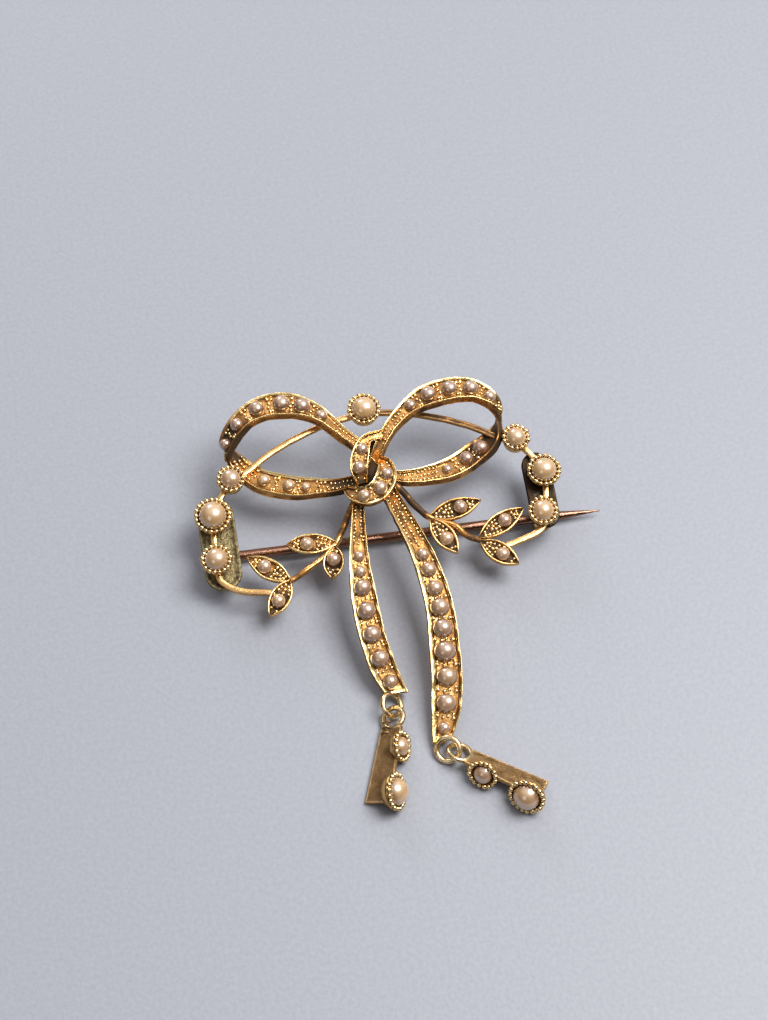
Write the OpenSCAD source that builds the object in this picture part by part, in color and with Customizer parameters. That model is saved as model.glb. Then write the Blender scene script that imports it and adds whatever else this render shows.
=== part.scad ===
// Gold ribbon-bow brooch with half pearls, lying face up on a table. Sizes in mm.
// The brooch is laid out in its own face: x to its right, y up the bow, z out of the face,
// origin behind the knot. lie() then puts it on the table, resting on its hinge, its catch
// and the right tail.

/* [Loops] */
// from the knot to the outer end of a loop
loop_reach = 14; // [13.4:0.1:14.6]
// from the knot up to the middle of the upper bands
loop_rise = 7.4; // [7:0.1:7.8]
// how far the upper bands stand in front of the frame
loop_lift = 1.6; // [1.4:0.05:1.8]
// loop ribbon at its widest
loop_w = 2.75; // [2.6:0.05:2.9]

/* [Ribbon] */
// thickness of the ribbons' floor
floor_t = 0.4; // [0.34:0.02:0.5]
// width of a raised rim, as a share of the ribbon
rim_share = 0.11; // [0.09:0.005:0.13]
// height of the rims above the floor
rim_h = 0.5; // [0.35:0.05:0.6]

/* [Tails] */
// from the knot down to the end of the right tail
tail_len = 27.6; // [27:0.1:28.2]
// how far the tails arch in front of the frame
tail_lift = 2; // [1.8:0.05:2.2]
// tail ribbon at its widest
tail_w = 3; // [2.8:0.05:3.1]

/* [Knot] */
// reach of the knot's two wraps
knot_reach = 3; // [2.9:0.05:3.1]
// height of the wraps' crest
knot_lift = 2.3; // [2.2:0.05:2.5]
// wrap ribbon at its widest
knot_w = 2.1; // [2:0.05:2.25]

/* [Frame] */
// from the axis to the big side collets
wing_reach = 16.4; // [16:0.1:16.8]
// height of the top collet
crown_rise = 6.3; // [6.1:0.1:6.5]
// width of the frame strip
wire_w = 0.6; // [0.5:0.05:0.75]
// thickness of the frame strip
wire_t = 0.5; // [0.4:0.05:0.6]
// diameter of the leaf twigs
twig_d = 0.65; // [0.55:0.05:0.75]

/* [Collets] */
// outer diameter of the biggest collet
collet_d = 3.7; // [3.5:0.05:3.8]
// foot of a collet, as a share of its mouth
collet_taper = 0.8; // [0.74:0.01:0.86]
// mouth of the collets above the frame's middle
collet_top = 0.95; // [0.85:0.05:1.1]
// depth of the seat in a collet
seat_depth = 0.5; // [0.4:0.05:0.6]
// pearl in a collet, as a share of the collet
collet_fill = 0.62; // [0.56:0.01:0.68]

/* [Leaves] */
// width of a leaf
leaf_w = 2.1; // [2:0.05:2.3]
// thickness of a leaf
leaf_t = 0.8; // [0.7:0.05:0.9]
// pearl in a leaf
leaf_pearl_d = 1.4; // [1.3:0.05:1.45]

/* [Pearls] */
// clearance between a pearl and its setting
pearl_gap = 0.05; // [0.04:0.01:0.08]
// ribbon pearl, as a share of the channel
ribbon_fill = 0.96; // [0.9:0.01:0.98]
// height of a pearl's girdle over its flat, as a share of its radius
girdle = 0.3; // [0.15:0.05:0.4]

/* [Back plates] */
// width of the plates behind the side collets
plate_w = 3.6; // [3.4:0.05:3.8]
// length of the left plate
plate_l = 9.4; // [9:0.1:9.8]
// thickness of the plates
plate_t = 0.5; // [0.4:0.05:0.6]

/* [Pin] */
// diameter of the pin's plain stem
pin_d = 0.95; // [0.85:0.05:1.05]
// stem where its tip begins, as a share of the plain stem
pin_neck = 0.94; // [0.9:0.01:0.97]
// from the middle of the catch to the tip
pin_out = 6; // [5.6:0.1:6.4]
// length of the conical tip
tip_l = 4.2; // [3.6:0.1:4.8]
// slope of the pin across the brooch, in degrees
pin_slope = 1.2; // [0.8:0.1:1.6]
// depth of the pin's axis behind the frame's middle
pin_depth = 2.6; // [2.5:0.05:2.8]

/* [Hinge] */
// diameter of the pin's eye
eye_d = 1.7; // [1.6:0.05:1.8]
// length of the eye between the lugs
eye_l = 1; // [0.9:0.05:1.2]
// diameter of the rivet
rivet_d = 0.76; // [0.7:0.02:0.8]
// running clearance of the eye on the rivet
hinge_gap = 0.05; // [0.03:0.01:0.07]
// clearance of the rivet in the lugs
rivet_gap = 0.02; // [0.02:0.005:0.04]
// clearance between the eye and each lug
cheek_gap = 0.1; // [0.06:0.01:0.15]
// thickness of a lug
lug_t = 0.7; // [0.6:0.05:0.8]
// half width of a lug
lug_r = 1; // [0.95:0.05:1.1]

/* [Catch] */
// how far the catch stands in from the middle of the right plate
catch_in = 0.23; // [0.1:0.01:0.4]
// length of the catch along the pin
catch_l = 1.6; // [1.4:0.1:1.8]
// clearance round the stem in the catch
catch_gap = 0.12; // [0.1:0.01:0.18]
// wall of the catch
catch_wall = 0.45; // [0.4:0.05:0.55]

/* [Rings and drops] */
// radius of a tail ring, to the middle of its wire
ring_r = 1.1; // [1.06:0.01:1.14]
// wire of the tail rings
ring_wire = 0.54; // [0.48:0.02:0.58]
// radius of a bail, to the middle of its wire
bail_r = 1.05; // [1.02:0.01:1.1]
// wire of the bails
bail_wire = 0.5; // [0.44:0.02:0.54]
// distance between a drop's collets
drop_step = 4.5; // [4.3:0.05:4.7]
// outer diameter of a drop's big collet
drop_d = 3.6; // [3.4:0.05:3.7]
// small collet of a drop, as a share of the big one
drop_small = 0.8; // [0.76:0.01:0.84]
// height of the big collet
drop_h = 0.95; // [0.9:0.05:1.05]
// how far the fin stands out between the collets
fin_front = 0.5; // [0.4:0.05:0.6]
// how far the fin runs past the middle of the small collet
fin_start = 2.05; // [2:0.05:2.2]
// depth of the fin behind the collets at its lower end
fin_deep = 2.1; // [2:0.05:2.2]
// depth of the fin behind the collets at its upper end
fin_slim = 1.6; // [1.5:0.05:1.7]
// how far the fin runs past the middle of the big collet
fin_end = 1.05; // [0.8:0.05:1.3]
// thickness of the fin
fin_t = 0.4; // [0.35:0.05:0.5]
// how far a drop has rolled over, in degrees
drop_roll = 62; // [58:0.5:65]

/* [Hidden] */
$fn = 48;

// Loops, seen as the right one; the left one is its mirror image.
// share of reach, rise, lift and width; heading and lean of the back edge; rims front +1, back -1
LEFT_LOOP = [
  [.00, -.02,  .42, .38,  90, -16,   1],
  [.06,  .22,  .62, .42,  90, -16,   1],
  [.20,  .50,  .75, .47,  90, -16,   1],
  [.33, .775,  .90, .65,  90, -16,   1],
  [.45,  .93,  .98, .86,  90, -16,   1],
  [.57,    1,    1, .99,  90, -16,   1],
  [.70, 1.005, .97, .95,  88, -17,   1],
  [.83,  .92,  .89, .86,  84, -18,   1],
  [.93, .755,  .70, .78,  80, -18,   1],
  [.99,  .60,  .30, .73,  77, -15,  .6],
  [.97,  .48, -.15, .75,  98, -18,   0],
  [.905, .29, -.34, .81, 115, -19, -.7],
  [.81,  .10, -.31, .88, 113, -18,  -1],
  [.69, -.01, -.22, .91, 110, -17,  -1],
  [.56,-.095, -.11, .84, 107, -15,  -1],
  [.43,-.135,    0, .69, 104, -14,  -1],
  [.29, -.17,  .13, .54, 102, -12,  -1],
  [.09, -.15,  .31, .42,  95, -12,  -1]];
RIGHT_LOOP = [
  [-.01,-.02,  .66, .36, 120, -10,   1],
  [.07,  .26, 1.02, .40, 120, -12,   1],
  [.15,  .47,  .97, .45, 105, -15,   1],
  [.265,.665,  .94, .60,  90, -16,   1],
  [.39, .805,  .98, .86,  90, -16,   1],
  [.52,  .87,    1, .98,  90, -16,   1],
  [.65, .885,  .99, .96,  88, -16,   1],
  [.77,  .84,  .93, .85,  82, -17,   1],
  [.865,.715,  .76, .74,  73, -25,   1],
  [.915,.565,  .48, .69,  62, -50,  .7],
  [.92,  .42,  .15, .70, 105, -80,   0],
  [.885, .26, -.13, .76, 138, -45, -.7],
  [.81, .125, -.26, .85, 130, -28,  -1],
  [.71,  .03, -.28, .91, 120, -20,  -1],
  [.60, -.08, -.24, .90, 110, -17,  -1],
  [.49, -.15, -.15, .81, 102, -15,  -1],
  [.37, -.18, -.03, .69,  96, -14,  -1],
  [.24,-.195,  .10, .54,  90, -12,  -1],
  [.05, -.15,  .31, .38,  85, -12,  -1]];

// Tails: shares of the tail's length across and down, of its lift and of its width.
LEFT_TAIL = [
  [-.040, -.045, .40, .34],
  [-.068, -.079, .45, .37],
  [-.082, -.130, .55, .38],
  [-.100, -.237, .75, .50],
  [-.113, -.341, .88, .63],
  [-.118, -.442, .90, .78],
  [-.117, -.541, .83, .83],
  [-.108, -.635, .65, .83],
  [-.090, -.726, .38, .82],
  [-.060, -.812, .05, .67]];
RIGHT_TAIL = [
  [ .011, -.043, .40, .43],
  [ .032, -.102, .40, .50],
  [ .069, -.221, .70, .60],
  [ .102, -.337, .90, .70],
  [ .123, -.453,   1, .82],
  [ .132, -.568,   1, .90],
  [ .126, -.680, .90, .96],
  [ .117, -.790, .70, .98],
  [ .097, -.897, .50, .93],
  [ .068,    -1, .27, .60]];

// Wraps of the knot: shares of its reach across and up, of its lift and of its width.
WRAP_ONE = [
  [ .37,  .97, .70, .45],
  [-.14,  .84, .87, .48],
  [-.41,  .42, .96, .78],
  [-.56, -.09, .91, .83],
  [-.53, -.52, .65, .48]];
WRAP_TWO = [
  [-1.03, -.70, .43, .24],
  [ -.77, -.98, .78, .71],
  [ -.40,-1.10, .96, .90],
  [  .00, -.92,   1,   1],
  [  .27, -.50, .96, .95],
  [  .30, -.07, .70, .62],
  [  .16,  .12, .50, .33]];

// Pearls in a channel: place counted in rows of its ribbon, share of the channel's width.
LEFT_LOOP_PEARLS = [[3, 1], [4, 1], [5.1, .87], [6.4, .88], [7.6, .87], [8.8, .82],
                    [12.25, .79], [13.6, .79], [14.5, .69]];
RIGHT_LOOP_PEARLS = [[3.45, .92], [4.5, .89], [5.65, .83], [6.8, .93], [7.95, .88],
                     [12.4, .80], [13.5, .58], [14.9, .53]];
LEFT_TAIL_PEARLS = [[3.9, .86], [4.45, .81], [5.03, 1], [5.85, 1], [6.7, 1], [7.6, 1],
                    [8.45, .92]];
RIGHT_TAIL_PEARLS = [[3.2, .85], [3.7, .90], [4.3, .88], [4.9, .98], [5.55, .93], [6.25, .98],
                     [7.03, .93], [7.85, .92], [8.55, .80]];
WRAP_ONE_PEARLS = [[1.85, 1], [2.95, 1]];
WRAP_TWO_PEARLS = [[1.75, 1], [3, .9], [4, .9]];

// Collets: place in shares of the wing's reach, share of the biggest collet's diameter,
// share of the usual pearl.
COLLETS = [
  [-.007,     0, .90, 1.16],
  [-.860,  .060, .77,    1],
  [-.995, -.153,   1,    1],
  [-1.01, -.423, .84,    1],
  [ .867,  .066, .77,    1],
  [ .995, -.164, .92,    1],
  [ .942, -.415, .81,    1]];

// Leaves: foot and tip in shares of the wing's reach, place of the pearl along the leaf.
LEAVES = [
  [-.295, -.415, -.594, -.382, .59],
  [-.310, -.432, -.358, -.627, .42],
  [-.597, -.608, -.832, -.422, .60],
  [-.602, -.602, -.749, -.799, .58],
  [ .264, -.342,  .593, -.281, .61],
  [ .274, -.348,  .401, -.583, .595],
  [ .536, -.512,  .837, -.368, .58],
  [ .542, -.530,  .745, -.704, .59]];

// Frame strips and twigs in shares of the wing's reach. A twig's first row is in shares of the
// knot's reach, and its third column is a height in shares of the knot's lift.
CROWN_ARC = [[.867, .063], [.756, .11], [.646, .183], [.506, .25], [.348, .311],
             [.207, .348], [.091, .366], [0, .381]];
LEFT_BAR = [[-.860, .060], [-.935, -.03], [-.995, -.153], [-1.01, -.30], [-1.01, -.457],
            [-1.007, -.534], [-.945, -.593], [-.861, -.63], [-.741, -.654], [-.70, -.66]];
RIGHT_BAR = [[.867, .066], [.945, -.04], [.995, -.164], [.985, -.30], [.942, -.415],
             [.935, -.49], [.88, -.53], [.812, -.551], [.704, -.579], [.67, -.585]];
LEFT_TWIG = [[-.40, -.50, .39], [-.172, -.208, .17], [-.293, -.402, 0], [-.41, -.502, 0],
             [-.585, -.602, 0]];
RIGHT_TWIG = [[.27, -.38, .39], [.127, -.146, .26], [.191, -.238, .04], [.276, -.338, 0],
              [.415, -.41, 0], [.469, -.48, 0], [.55, -.525, 0]];

// Walks along a table of rows: curve through the rows, and its direction.
function row(P, i) = P[max(0, min(len(P) - 1, i))];
function curve(a, b, c, d, t) =
  0.5 * (2 * b + (c - a) * t + (2 * a - 5 * b + 4 * c - d) * t * t
         + (3 * b - a - 3 * c + d) * t * t * t);
function at(P, s) =
  let (i = max(0, min(floor(s), len(P) - 2)))
  curve(row(P, i - 1), row(P, i), row(P, i + 1), row(P, i + 2), s - i);
function unit(v) = v / norm(v);
function xyz(r) = [r[0], r[1], r[2]];
function along(P, s) =
  unit(xyz(at(P, min(s + .02, len(P) - 1))) - xyz(at(P, max(s - .02, 0))));
function square_to(v, t) = unit(v - t * (v * t));
// a row's across vector: its own for the loops, level and square to the path for the others
function across(P, s) =
  let (t = along(P, s), r = at(P, s))
  square_to(len(r) > 5 ? [r[4], r[5], r[6]] : [-t[1], t[0], 0], t);
function out(P, s) = cross(along(P, s), across(P, s));

// rows turned from shares into mm
function loop_rows(T) = [for (r = T) [
  r[0] * loop_reach, r[1] * loop_rise, r[2] * loop_lift, r[3] * loop_w,
  cos(r[5]) * cos(r[4]), cos(r[5]) * sin(r[4]), sin(r[5]), r[6]]];
function tail_rows(T) = [for (r = T)
  [r[0] * tail_len, r[1] * tail_len, r[2] * tail_lift, r[3] * tail_w]];
function wrap_rows(T) = [for (r = T)
  [r[0] * knot_reach, r[1] * knot_reach, r[2] * knot_lift, r[3] * knot_w]];
function wing_rows(T) = [for (r = T) [r[0] * wing_reach, r[1] * wing_reach, 0]];
function twig_rows(T) = [for (i = [0:len(T) - 1])
  let (reach = i == 0 ? knot_reach : wing_reach)
  [T[i][0] * reach, T[i][1] * reach, T[i][2] * knot_lift]];
left_loop = loop_rows(LEFT_LOOP);
right_loop = loop_rows(RIGHT_LOOP);
left_tail = tail_rows(LEFT_TAIL);
right_tail = tail_rows(RIGHT_TAIL);
wrap_one = wrap_rows(WRAP_ONE);
wrap_two = wrap_rows(WRAP_TWO);

// sections: across and outward, running the same way round
least_rim = .02;
function h_section(w, rim) =
  let (h = w / 2, r = w * rim_share, f = floor_t / 2,
       a = f + least_rim + rim_h * max(rim, 0), b = f + least_rim + rim_h * max(-rim, 0))
  [[-h, -b], [r - h, -b], [r - h, -f], [h - r, -f], [h - r, -b], [h, -b],
   [h, a], [h - r, a], [h - r, f], [r - h, f], [r - h, a], [-h, a]];
function u_section(w) =
  let (h = w / 2, r = w * rim_share, f = floor_t / 2, a = f + rim_h)
  [[-h, -f], [h, -f], [h, a], [h - r, a], [h - r, f], [r - h, f], [r - h, a], [-h, a]];
function round_section(d) = [for (i = [0:5]) d / 2 * [cos(60 * i), sin(60 * i)]];
H_CAPS = [[0, 1, 2, 9, 10, 11], [2, 3, 8, 9], [3, 4, 5, 6, 7, 8]];
U_CAPS = [[0, 5, 6, 7], [0, 1, 4, 5], [1, 2, 3, 4]];
ROUND_CAPS = [[0, 1, 2, 3, 4, 5]];
function section(P, s, kind) =
  kind == "h" ? h_section(at(P, s)[3], at(P, s)[7])
  : kind == "u" ? u_section(at(P, s)[3]) : round_section(twig_d);
function caps(kind) = kind == "h" ? H_CAPS : kind == "u" ? U_CAPS : ROUND_CAPS;

// a section carried along a curve; slant pushes its end face along the path on one side
module sweep(P, kind, steps, slant = 0) {
  stations = [for (i = [0:(len(P) - 1) * steps]) i / steps];
  n = len(section(P, 0, kind));
  m = len(stations);
  points = [for (s = stations)
    let (p = xyz(at(P, s)), t = along(P, s), a = across(P, s), o = cross(t, a),
         k = slant * max(0, s - len(P) + 2))
    for (q = section(P, s, kind)) p + a * q[0] + o * q[1] + t * (k * q[0])];
  sides = [for (i = [0:m - 2]) for (j = [0:n - 1])
    let (k = (j + 1) % n)
    for (f = [[i * n + j, (i + 1) * n + j, (i + 1) * n + k],
              [i * n + j, (i + 1) * n + k, i * n + k]]) f];
  first = caps(kind);
  last = [for (f = caps(kind)) [for (q = [len(f) - 1:-1:0]) f[q] + (m - 1) * n]];
  polyhedron(concat(points), concat(first, sides, last), convexity = 8);
}

// a flat strip of the frame
module strip(T) {
  P = wing_rows(T);
  S = [for (i = [0:(len(P) - 1) * 2]) i / 2];
  edge = function (side) [for (s = S)
    let (p = at(P, s), t = along(P, s)) [p[0] - t[1] * side * wire_w / 2, p[1] + t[0] * side * wire_w / 2]];
  rim_b = edge(-1);
  translate([0, 0, -wire_t / 2])
    linear_extrude(wire_t)
      polygon(concat(edge(1), [for (i = [len(rim_b) - 1:-1:0]) rim_b[i]]));
}

// a half pearl standing on its flat
module half_pearl(d) {
  intersection() {
    translate([0, 0, girdle * d / 2])
      sphere(d = d);
    translate([-d, -d, 0])
      cube([2 * d, 2 * d, 2 * d]);
  }
}
// turns z to a direction
module facing(v) {
  rotate([0, acos(v[2]), atan2(v[1], v[0])])
    children();
}

// Pearls of a channel, side +1 on the ribbon's front and -1 on its back
function channel_pearl(P, s, share) =
  ribbon_fill * share * (at(P, s)[3] * (1 - 2 * rim_share) - 2 * pearl_gap);
module ribbon_pearl(P, e) {
  side = len(P[0]) > 5 && at(P, e[0])[7] < 0 ? -1 : 1;
  o = out(P, e[0]) * side;
  translate(xyz(at(P, e[0])) + o * (floor_t / 2 + least_rim + pearl_gap))
    facing(o)
      half_pearl(channel_pearl(P, e[0], e[1]));
}

// Collets
function collet_place(i) = [COLLETS[i][0] * wing_reach,
  i == 0 ? crown_rise : COLLETS[i][1] * wing_reach];
function collet_size(i) = COLLETS[i][2] * collet_d;
function collet_pearl_d(i) = collet_size(i) * collet_fill * COLLETS[i][3];
collet_sink = .15;
collet_foot = -wire_t / 2 - collet_sink;
module collet_body(d, h) {
  cylinder(h = h, d1 = d * collet_taper, d2 = d);
}
module seat(pearl, h, depth) {
  translate([0, 0, h - depth])
    cylinder(h = depth + 1, d = pearl + 2 * pearl_gap);
}
module collet_pearl(i) {
  translate([collet_place(i)[0], collet_place(i)[1], collet_top - seat_depth + pearl_gap])
    half_pearl(collet_pearl_d(i));
}

// Leaves
function leaf_foot(i) = wing_reach * [LEAVES[i][0], LEAVES[i][1]];
function leaf_tip(i) = wing_reach * [LEAVES[i][2], LEAVES[i][3]];
function leaf_seat(i) = leaf_foot(i) + (leaf_tip(i) - leaf_foot(i)) * LEAVES[i][4];
leaf_sink = .45;
leaf_floor = leaf_t / 2 - leaf_sink;
module leaf(i) {
  v = leaf_tip(i) - leaf_foot(i);
  a = norm(v) / 2;
  b = leaf_w / 2;
  r = (a * a + b * b) / (2 * b);
  translate([leaf_foot(i)[0], leaf_foot(i)[1], -leaf_t / 2])
    rotate(atan2(v[1], v[0]))
      linear_extrude(leaf_t)
        intersection() {
          translate([a, r - b])
            circle(r, $fn = 64);
          translate([a, b - r])
            circle(r, $fn = 64);
        }
}
module leaf_socket(i) {
  translate([leaf_seat(i)[0], leaf_seat(i)[1], leaf_floor])
    cylinder(h = 2, d = leaf_pearl_d + 2 * pearl_gap);
}
module leaf_pearl(i) {
  translate([leaf_seat(i)[0], leaf_seat(i)[1], leaf_floor + pearl_gap])
    half_pearl(leaf_pearl_d);
}

// Back plates
collet_lap = .05;
plate_z = collet_foot - plate_t + collet_lap;
left_plate = wing_reach * [-.98, -.305];
right_plate = wing_reach * [.965, -.255];
module plate(c, w, l) {
  translate([c[0], c[1], plate_z]) {
    translate([0, l / 2 - w / 2, 0])
      cylinder(h = plate_t, d = w);
    translate([0, w / 2 - l / 2, 0])
      cylinder(h = plate_t, d = w);
    translate([-w / 2, w / 2 - l / 2, 0])
      cube([w, l - w, plate_t]);
  }
}

// Pin, laid along x from the hinge's axis at the origin
hinge_at = wing_reach * [-.994, -.348];
catch_at = right_plate[0] - hinge_at[0] - catch_in;
pin_len = catch_at + pin_out;
stem_clear = .4;
neck_l = lug_r + stem_clear;
plain_to = catch_at - catch_l / 2 - stem_clear;
tip_d = .12;
module at_hinge() {
  translate([hinge_at[0], hinge_at[1], -pin_depth])
    rotate(-pin_slope)
      children();
}
module along_axle(l, r) {
  rotate([90, 0, 0])
    cylinder(h = l, r = r, center = true);
}
// the stem narrows a little from the eye, is plain up to the catch and tapers from there
module pin() {
  difference() {
    union() {
      along_axle(eye_l, eye_d / 2);
      rotate([0, 90, 0])
        rotate_extrude()
          polygon([[0, 0], [eye_l / 2, 0], [pin_d / 2, neck_l], [pin_d / 2, plain_to],
                   [pin_d * pin_neck / 2, pin_len - tip_l], [tip_d / 2, pin_len],
                   [0, pin_len]]);
    }
    along_axle(eye_l + 1, rivet_d / 2 + hinge_gap);
  }
}
lug_in = eye_l / 2 + cheek_gap;
head_t = .25;
head_gap = .05;
rivet_half = lug_in + lug_t + head_gap;
module rivet() {
  along_axle(2 * (rivet_half + head_gap), rivet_d / 2);
  for (s = [-1, 1])
    translate([0, s * (rivet_half + head_t / 2), 0])
      along_axle(head_t, rivet_d / 2 + head_t);
}
// the lugs and the catch reach this far up, into the plates
plate_lap = .1;
fitting_top = pin_depth + plate_z + plate_lap;
module lug(side) {
  translate([0, side * (lug_in + lug_t / 2), 0])
    difference() {
      union() {
        along_axle(lug_t, lug_r);
        translate([-lug_r, -lug_t / 2, 0])
          cube([2 * lug_r, lug_t, fitting_top]);
        translate([-lug_r * .7, -lug_t / 2, -lug_r - .3])
          cube([lug_r * 1.4, lug_t, lug_r + .3]);
      }
      along_axle(lug_t + 1, rivet_d / 2 + rivet_gap);
    }
}
catch_r = pin_d / 2 + catch_gap;
catch_lip = .9;
catch_neck = 1.2;
module catch() {
  wide = 2 * (catch_r + catch_wall);
  translate([catch_at - catch_l / 2, 0, 0])
    difference() {
      union() {
        rotate([0, 90, 0])
          cylinder(h = catch_l, d = wide);
        translate([0, -wide / 2, -catch_r - catch_lip])
          cube([catch_l, wide, catch_r + catch_lip]);
        translate([0, -catch_neck / 2, 0])
          cube([catch_l, catch_neck, fitting_top]);
      }
      translate([-1, 0, 0])
        rotate([0, 90, 0])
          cylinder(h = catch_l + 2, r = catch_r);
      translate([-1, -catch_r, -2 * pin_depth])
        cube([catch_l + 2, 2 * catch_r, 2 * pin_depth]);
    }
}

// How it lies: the table touches the hinge, the catch and the end of the right tail.
foot_y = hinge_at[1];
foot_z = -pin_depth - lug_r;
tail_tip = xyz(right_tail[len(right_tail) - 1]) - [0, 0, floor_t / 2 + .15];
lie_tilt = atan2(tail_tip[2] - foot_z, foot_y - tail_tip[1]);
lie_rise = -(foot_y * sin(lie_tilt) + foot_z * cos(lie_tilt));
left_edge = -wing_reach - collet_d / 2 + .08;
right_edge = hinge_at[0] + pin_len * cos(pin_slope);
back_edge = loop_rise * .985 + loop_w * .38;
// how far the drops reach past the longer tail
drops_reach = 7.9;
front_edge = -tail_len - drops_reach;
base_shift = [-(left_edge + right_edge) / 2, -(back_edge + front_edge) / 2, 0];
module lie() {
  translate(base_shift + [0, 0, lie_rise])
    rotate([lie_tilt, 0, 0])
      children();
}
function lain(p) = base_shift + [p[0],
  p[1] * cos(lie_tilt) - p[2] * sin(lie_tilt),
  p[1] * sin(lie_tilt) + p[2] * cos(lie_tilt) + lie_rise];
module under_table() {
  span = 4 * wing_reach;
  translate([-span / 2, -span / 2, -span])
    cube(span);
}

// Tail rings and drops stand in the table's own frame.
// ring from the tail's end, its plane, link to the bail, heading and roll of the drop
LEFT_HANG = [[-.53, -1.07], [.60, -.20, .77], [-.10, -1.14], -107.7, -1];
RIGHT_HANG = [[.27, -1.05], [-.30, -.40, .87], [.92, -.45], -36.5, 1];
solder_d = .66;
solder_lap = .1;
table_gap = .03;
function ring_mid(P, H) =
  let (e = lain(xyz(P[len(P) - 1])), n = unit(H[1]))
  [e[0] + H[0][0] * ring_r, e[1] + H[0][1] * ring_r,
   ring_r * sqrt(1 - n[2] * n[2]) + ring_wire / 2 + table_gap];
module torus(r, wire) {
  rotate_extrude()
    translate([r, 0])
      circle(d = wire, $fn = 24);
}
module tail_ring(P, H) {
  translate(ring_mid(P, H))
    facing(unit(H[1]))
      torus(ring_r, ring_wire);
}
// the solder between a tail's end and its ring
module solder(P, H) {
  e = lain(xyz(P[len(P) - 1]));
  c = ring_mid(P, H);
  n = unit(H[1]);
  d = unit([e[0] - c[0], e[1] - c[1]]);
  near = c + ring_r * unit([d[0], d[1], -(n[0] * d[0] + n[1] * d[1]) / n[2]]);
  translate(near)
    facing(unit(e - near))
      cylinder(h = norm(e - near) + solder_lap, d = solder_d);
}
drop_foot_d = drop_d * .75;
drop_rest = max(drop_foot_d / 2 * sin(drop_roll),
                drop_d / 2 * sin(drop_roll) - drop_h * cos(drop_roll),
                fin_deep * cos(drop_roll) + fin_t / 2 * sin(drop_roll));
bail_lap = .15;
bail_deep = .6;
bail_at = [bail_lap - fin_start - bail_r, -bail_deep];
small_h = drop_h * .85;
module at_drop(P, H) {
  c = ring_mid(P, H);
  // the drop's own frame: x down the drop, z out of its collets
  x = [cos(H[3]), sin(H[3]), 0];
  y = [-sin(H[3]), cos(H[3]), 0];
  z = cos(drop_roll) * [0, 0, 1] - H[4] * sin(drop_roll) * y;
  link = [c[0] + H[2][0] * ring_r, c[1] + H[2][1] * ring_r, 0];
  foot = link - x * bail_at[0] - z * bail_at[1];
  translate([foot[0], foot[1], drop_rest])
    rotate(H[3])
      rotate([H[4] * drop_roll, 0, 0])
        children();
}
module drop() {
  difference() {
    union() {
      cylinder(h = small_h, d1 = drop_foot_d * drop_small, d2 = drop_d * drop_small);
      translate([drop_step, 0, 0])
        cylinder(h = drop_h, d1 = drop_foot_d, d2 = drop_d);
      translate([0, fin_t / 2, 0])
        rotate([90, 0, 0])
          linear_extrude(fin_t)
            polygon([[-fin_start, fin_front], [drop_step + fin_end, fin_front],
                     [drop_step + fin_end, -fin_deep], [-fin_start, -fin_slim]]);
      translate([bail_at[0], 0, bail_at[1]])
        rotate([90, 0, 0])
          torus(bail_r, bail_wire);
    }
    seat(drop_d * drop_small * collet_fill, small_h, seat_depth);
    translate([drop_step, 0, 0])
      seat(drop_d * collet_fill, drop_h, seat_depth);
  }
}
module drop_pearl(big) {
  d = big ? drop_d : drop_d * drop_small;
  translate([big ? drop_step : 0, 0, (big ? drop_h : small_h) - seat_depth + pearl_gap])
    half_pearl(d * collet_fill);
}

// One soldered piece of gold
module bow_frame() {
  color("goldenrod") {
    lie()
      difference() {
        union() {
          mirror([1, 0, 0])
            sweep(left_loop, "h", 2);
          sweep(right_loop, "h", 2);
          sweep(left_tail, "u", 2, .42);
          sweep(right_tail, "u", 2, -.5);
          sweep(wrap_one, "u", 2);
          sweep(wrap_two, "u", 2);
          sweep(twig_rows(LEFT_TWIG), "round", 2);
          sweep(twig_rows(RIGHT_TWIG), "round", 2);
          translate([-.1 * knot_reach, -.2 * knot_reach, .1])
            cylinder(h = knot_lift - .5, r = knot_reach / 2 - .03);
          strip(CROWN_ARC);
          mirror([1, 0, 0])
            strip(CROWN_ARC);
          strip(LEFT_BAR);
          strip(RIGHT_BAR);
          for (i = [0:7])
            leaf(i);
          for (i = [0:6])
            translate([collet_place(i)[0], collet_place(i)[1], collet_foot])
              collet_body(collet_size(i), collet_top - collet_foot);
          plate(left_plate, plate_w, plate_l);
          plate(right_plate, plate_w * .78, plate_l * .84);
        }
        for (i = [0:7])
          leaf_socket(i);
        for (i = [0:6])
          translate([collet_place(i)[0], collet_place(i)[1], 0])
            seat(collet_pearl_d(i), collet_top, seat_depth);
      }
    difference() {
      lie()
        at_hinge() {
          lug(-1);
          lug(1);
          catch();
        }
      under_table();
    }
    tail_ring(left_tail, LEFT_HANG);
    tail_ring(right_tail, RIGHT_HANG);
    solder(left_tail, LEFT_HANG);
    solder(right_tail, RIGHT_HANG);
  }
}
module pin_stem() {
  color("rosybrown")
    lie()
      at_hinge()
        pin();
}
module hinge_rivet() {
  color("goldenrod")
    lie()
      at_hinge()
        rivet();
}
module drop_left() {
  color("goldenrod")
    at_drop(left_tail, LEFT_HANG)
      drop();
}
module drop_right() {
  color("goldenrod")
    at_drop(right_tail, RIGHT_HANG)
      drop();
}
module left_loop_pearls() {
  color("ivory")
    lie()
      mirror([1, 0, 0])
        for (e = LEFT_LOOP_PEARLS)
          ribbon_pearl(left_loop, e);
}
module right_loop_pearls() {
  color("ivory")
    lie()
      for (e = RIGHT_LOOP_PEARLS)
        ribbon_pearl(right_loop, e);
}
module knot_pearls() {
  color("ivory")
    lie() {
      for (e = WRAP_ONE_PEARLS)
        ribbon_pearl(wrap_one, e);
      for (e = WRAP_TWO_PEARLS)
        ribbon_pearl(wrap_two, e);
    }
}
module left_tail_pearl(i) {
  color("ivory")
    lie()
      ribbon_pearl(left_tail, LEFT_TAIL_PEARLS[i]);
}
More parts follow.
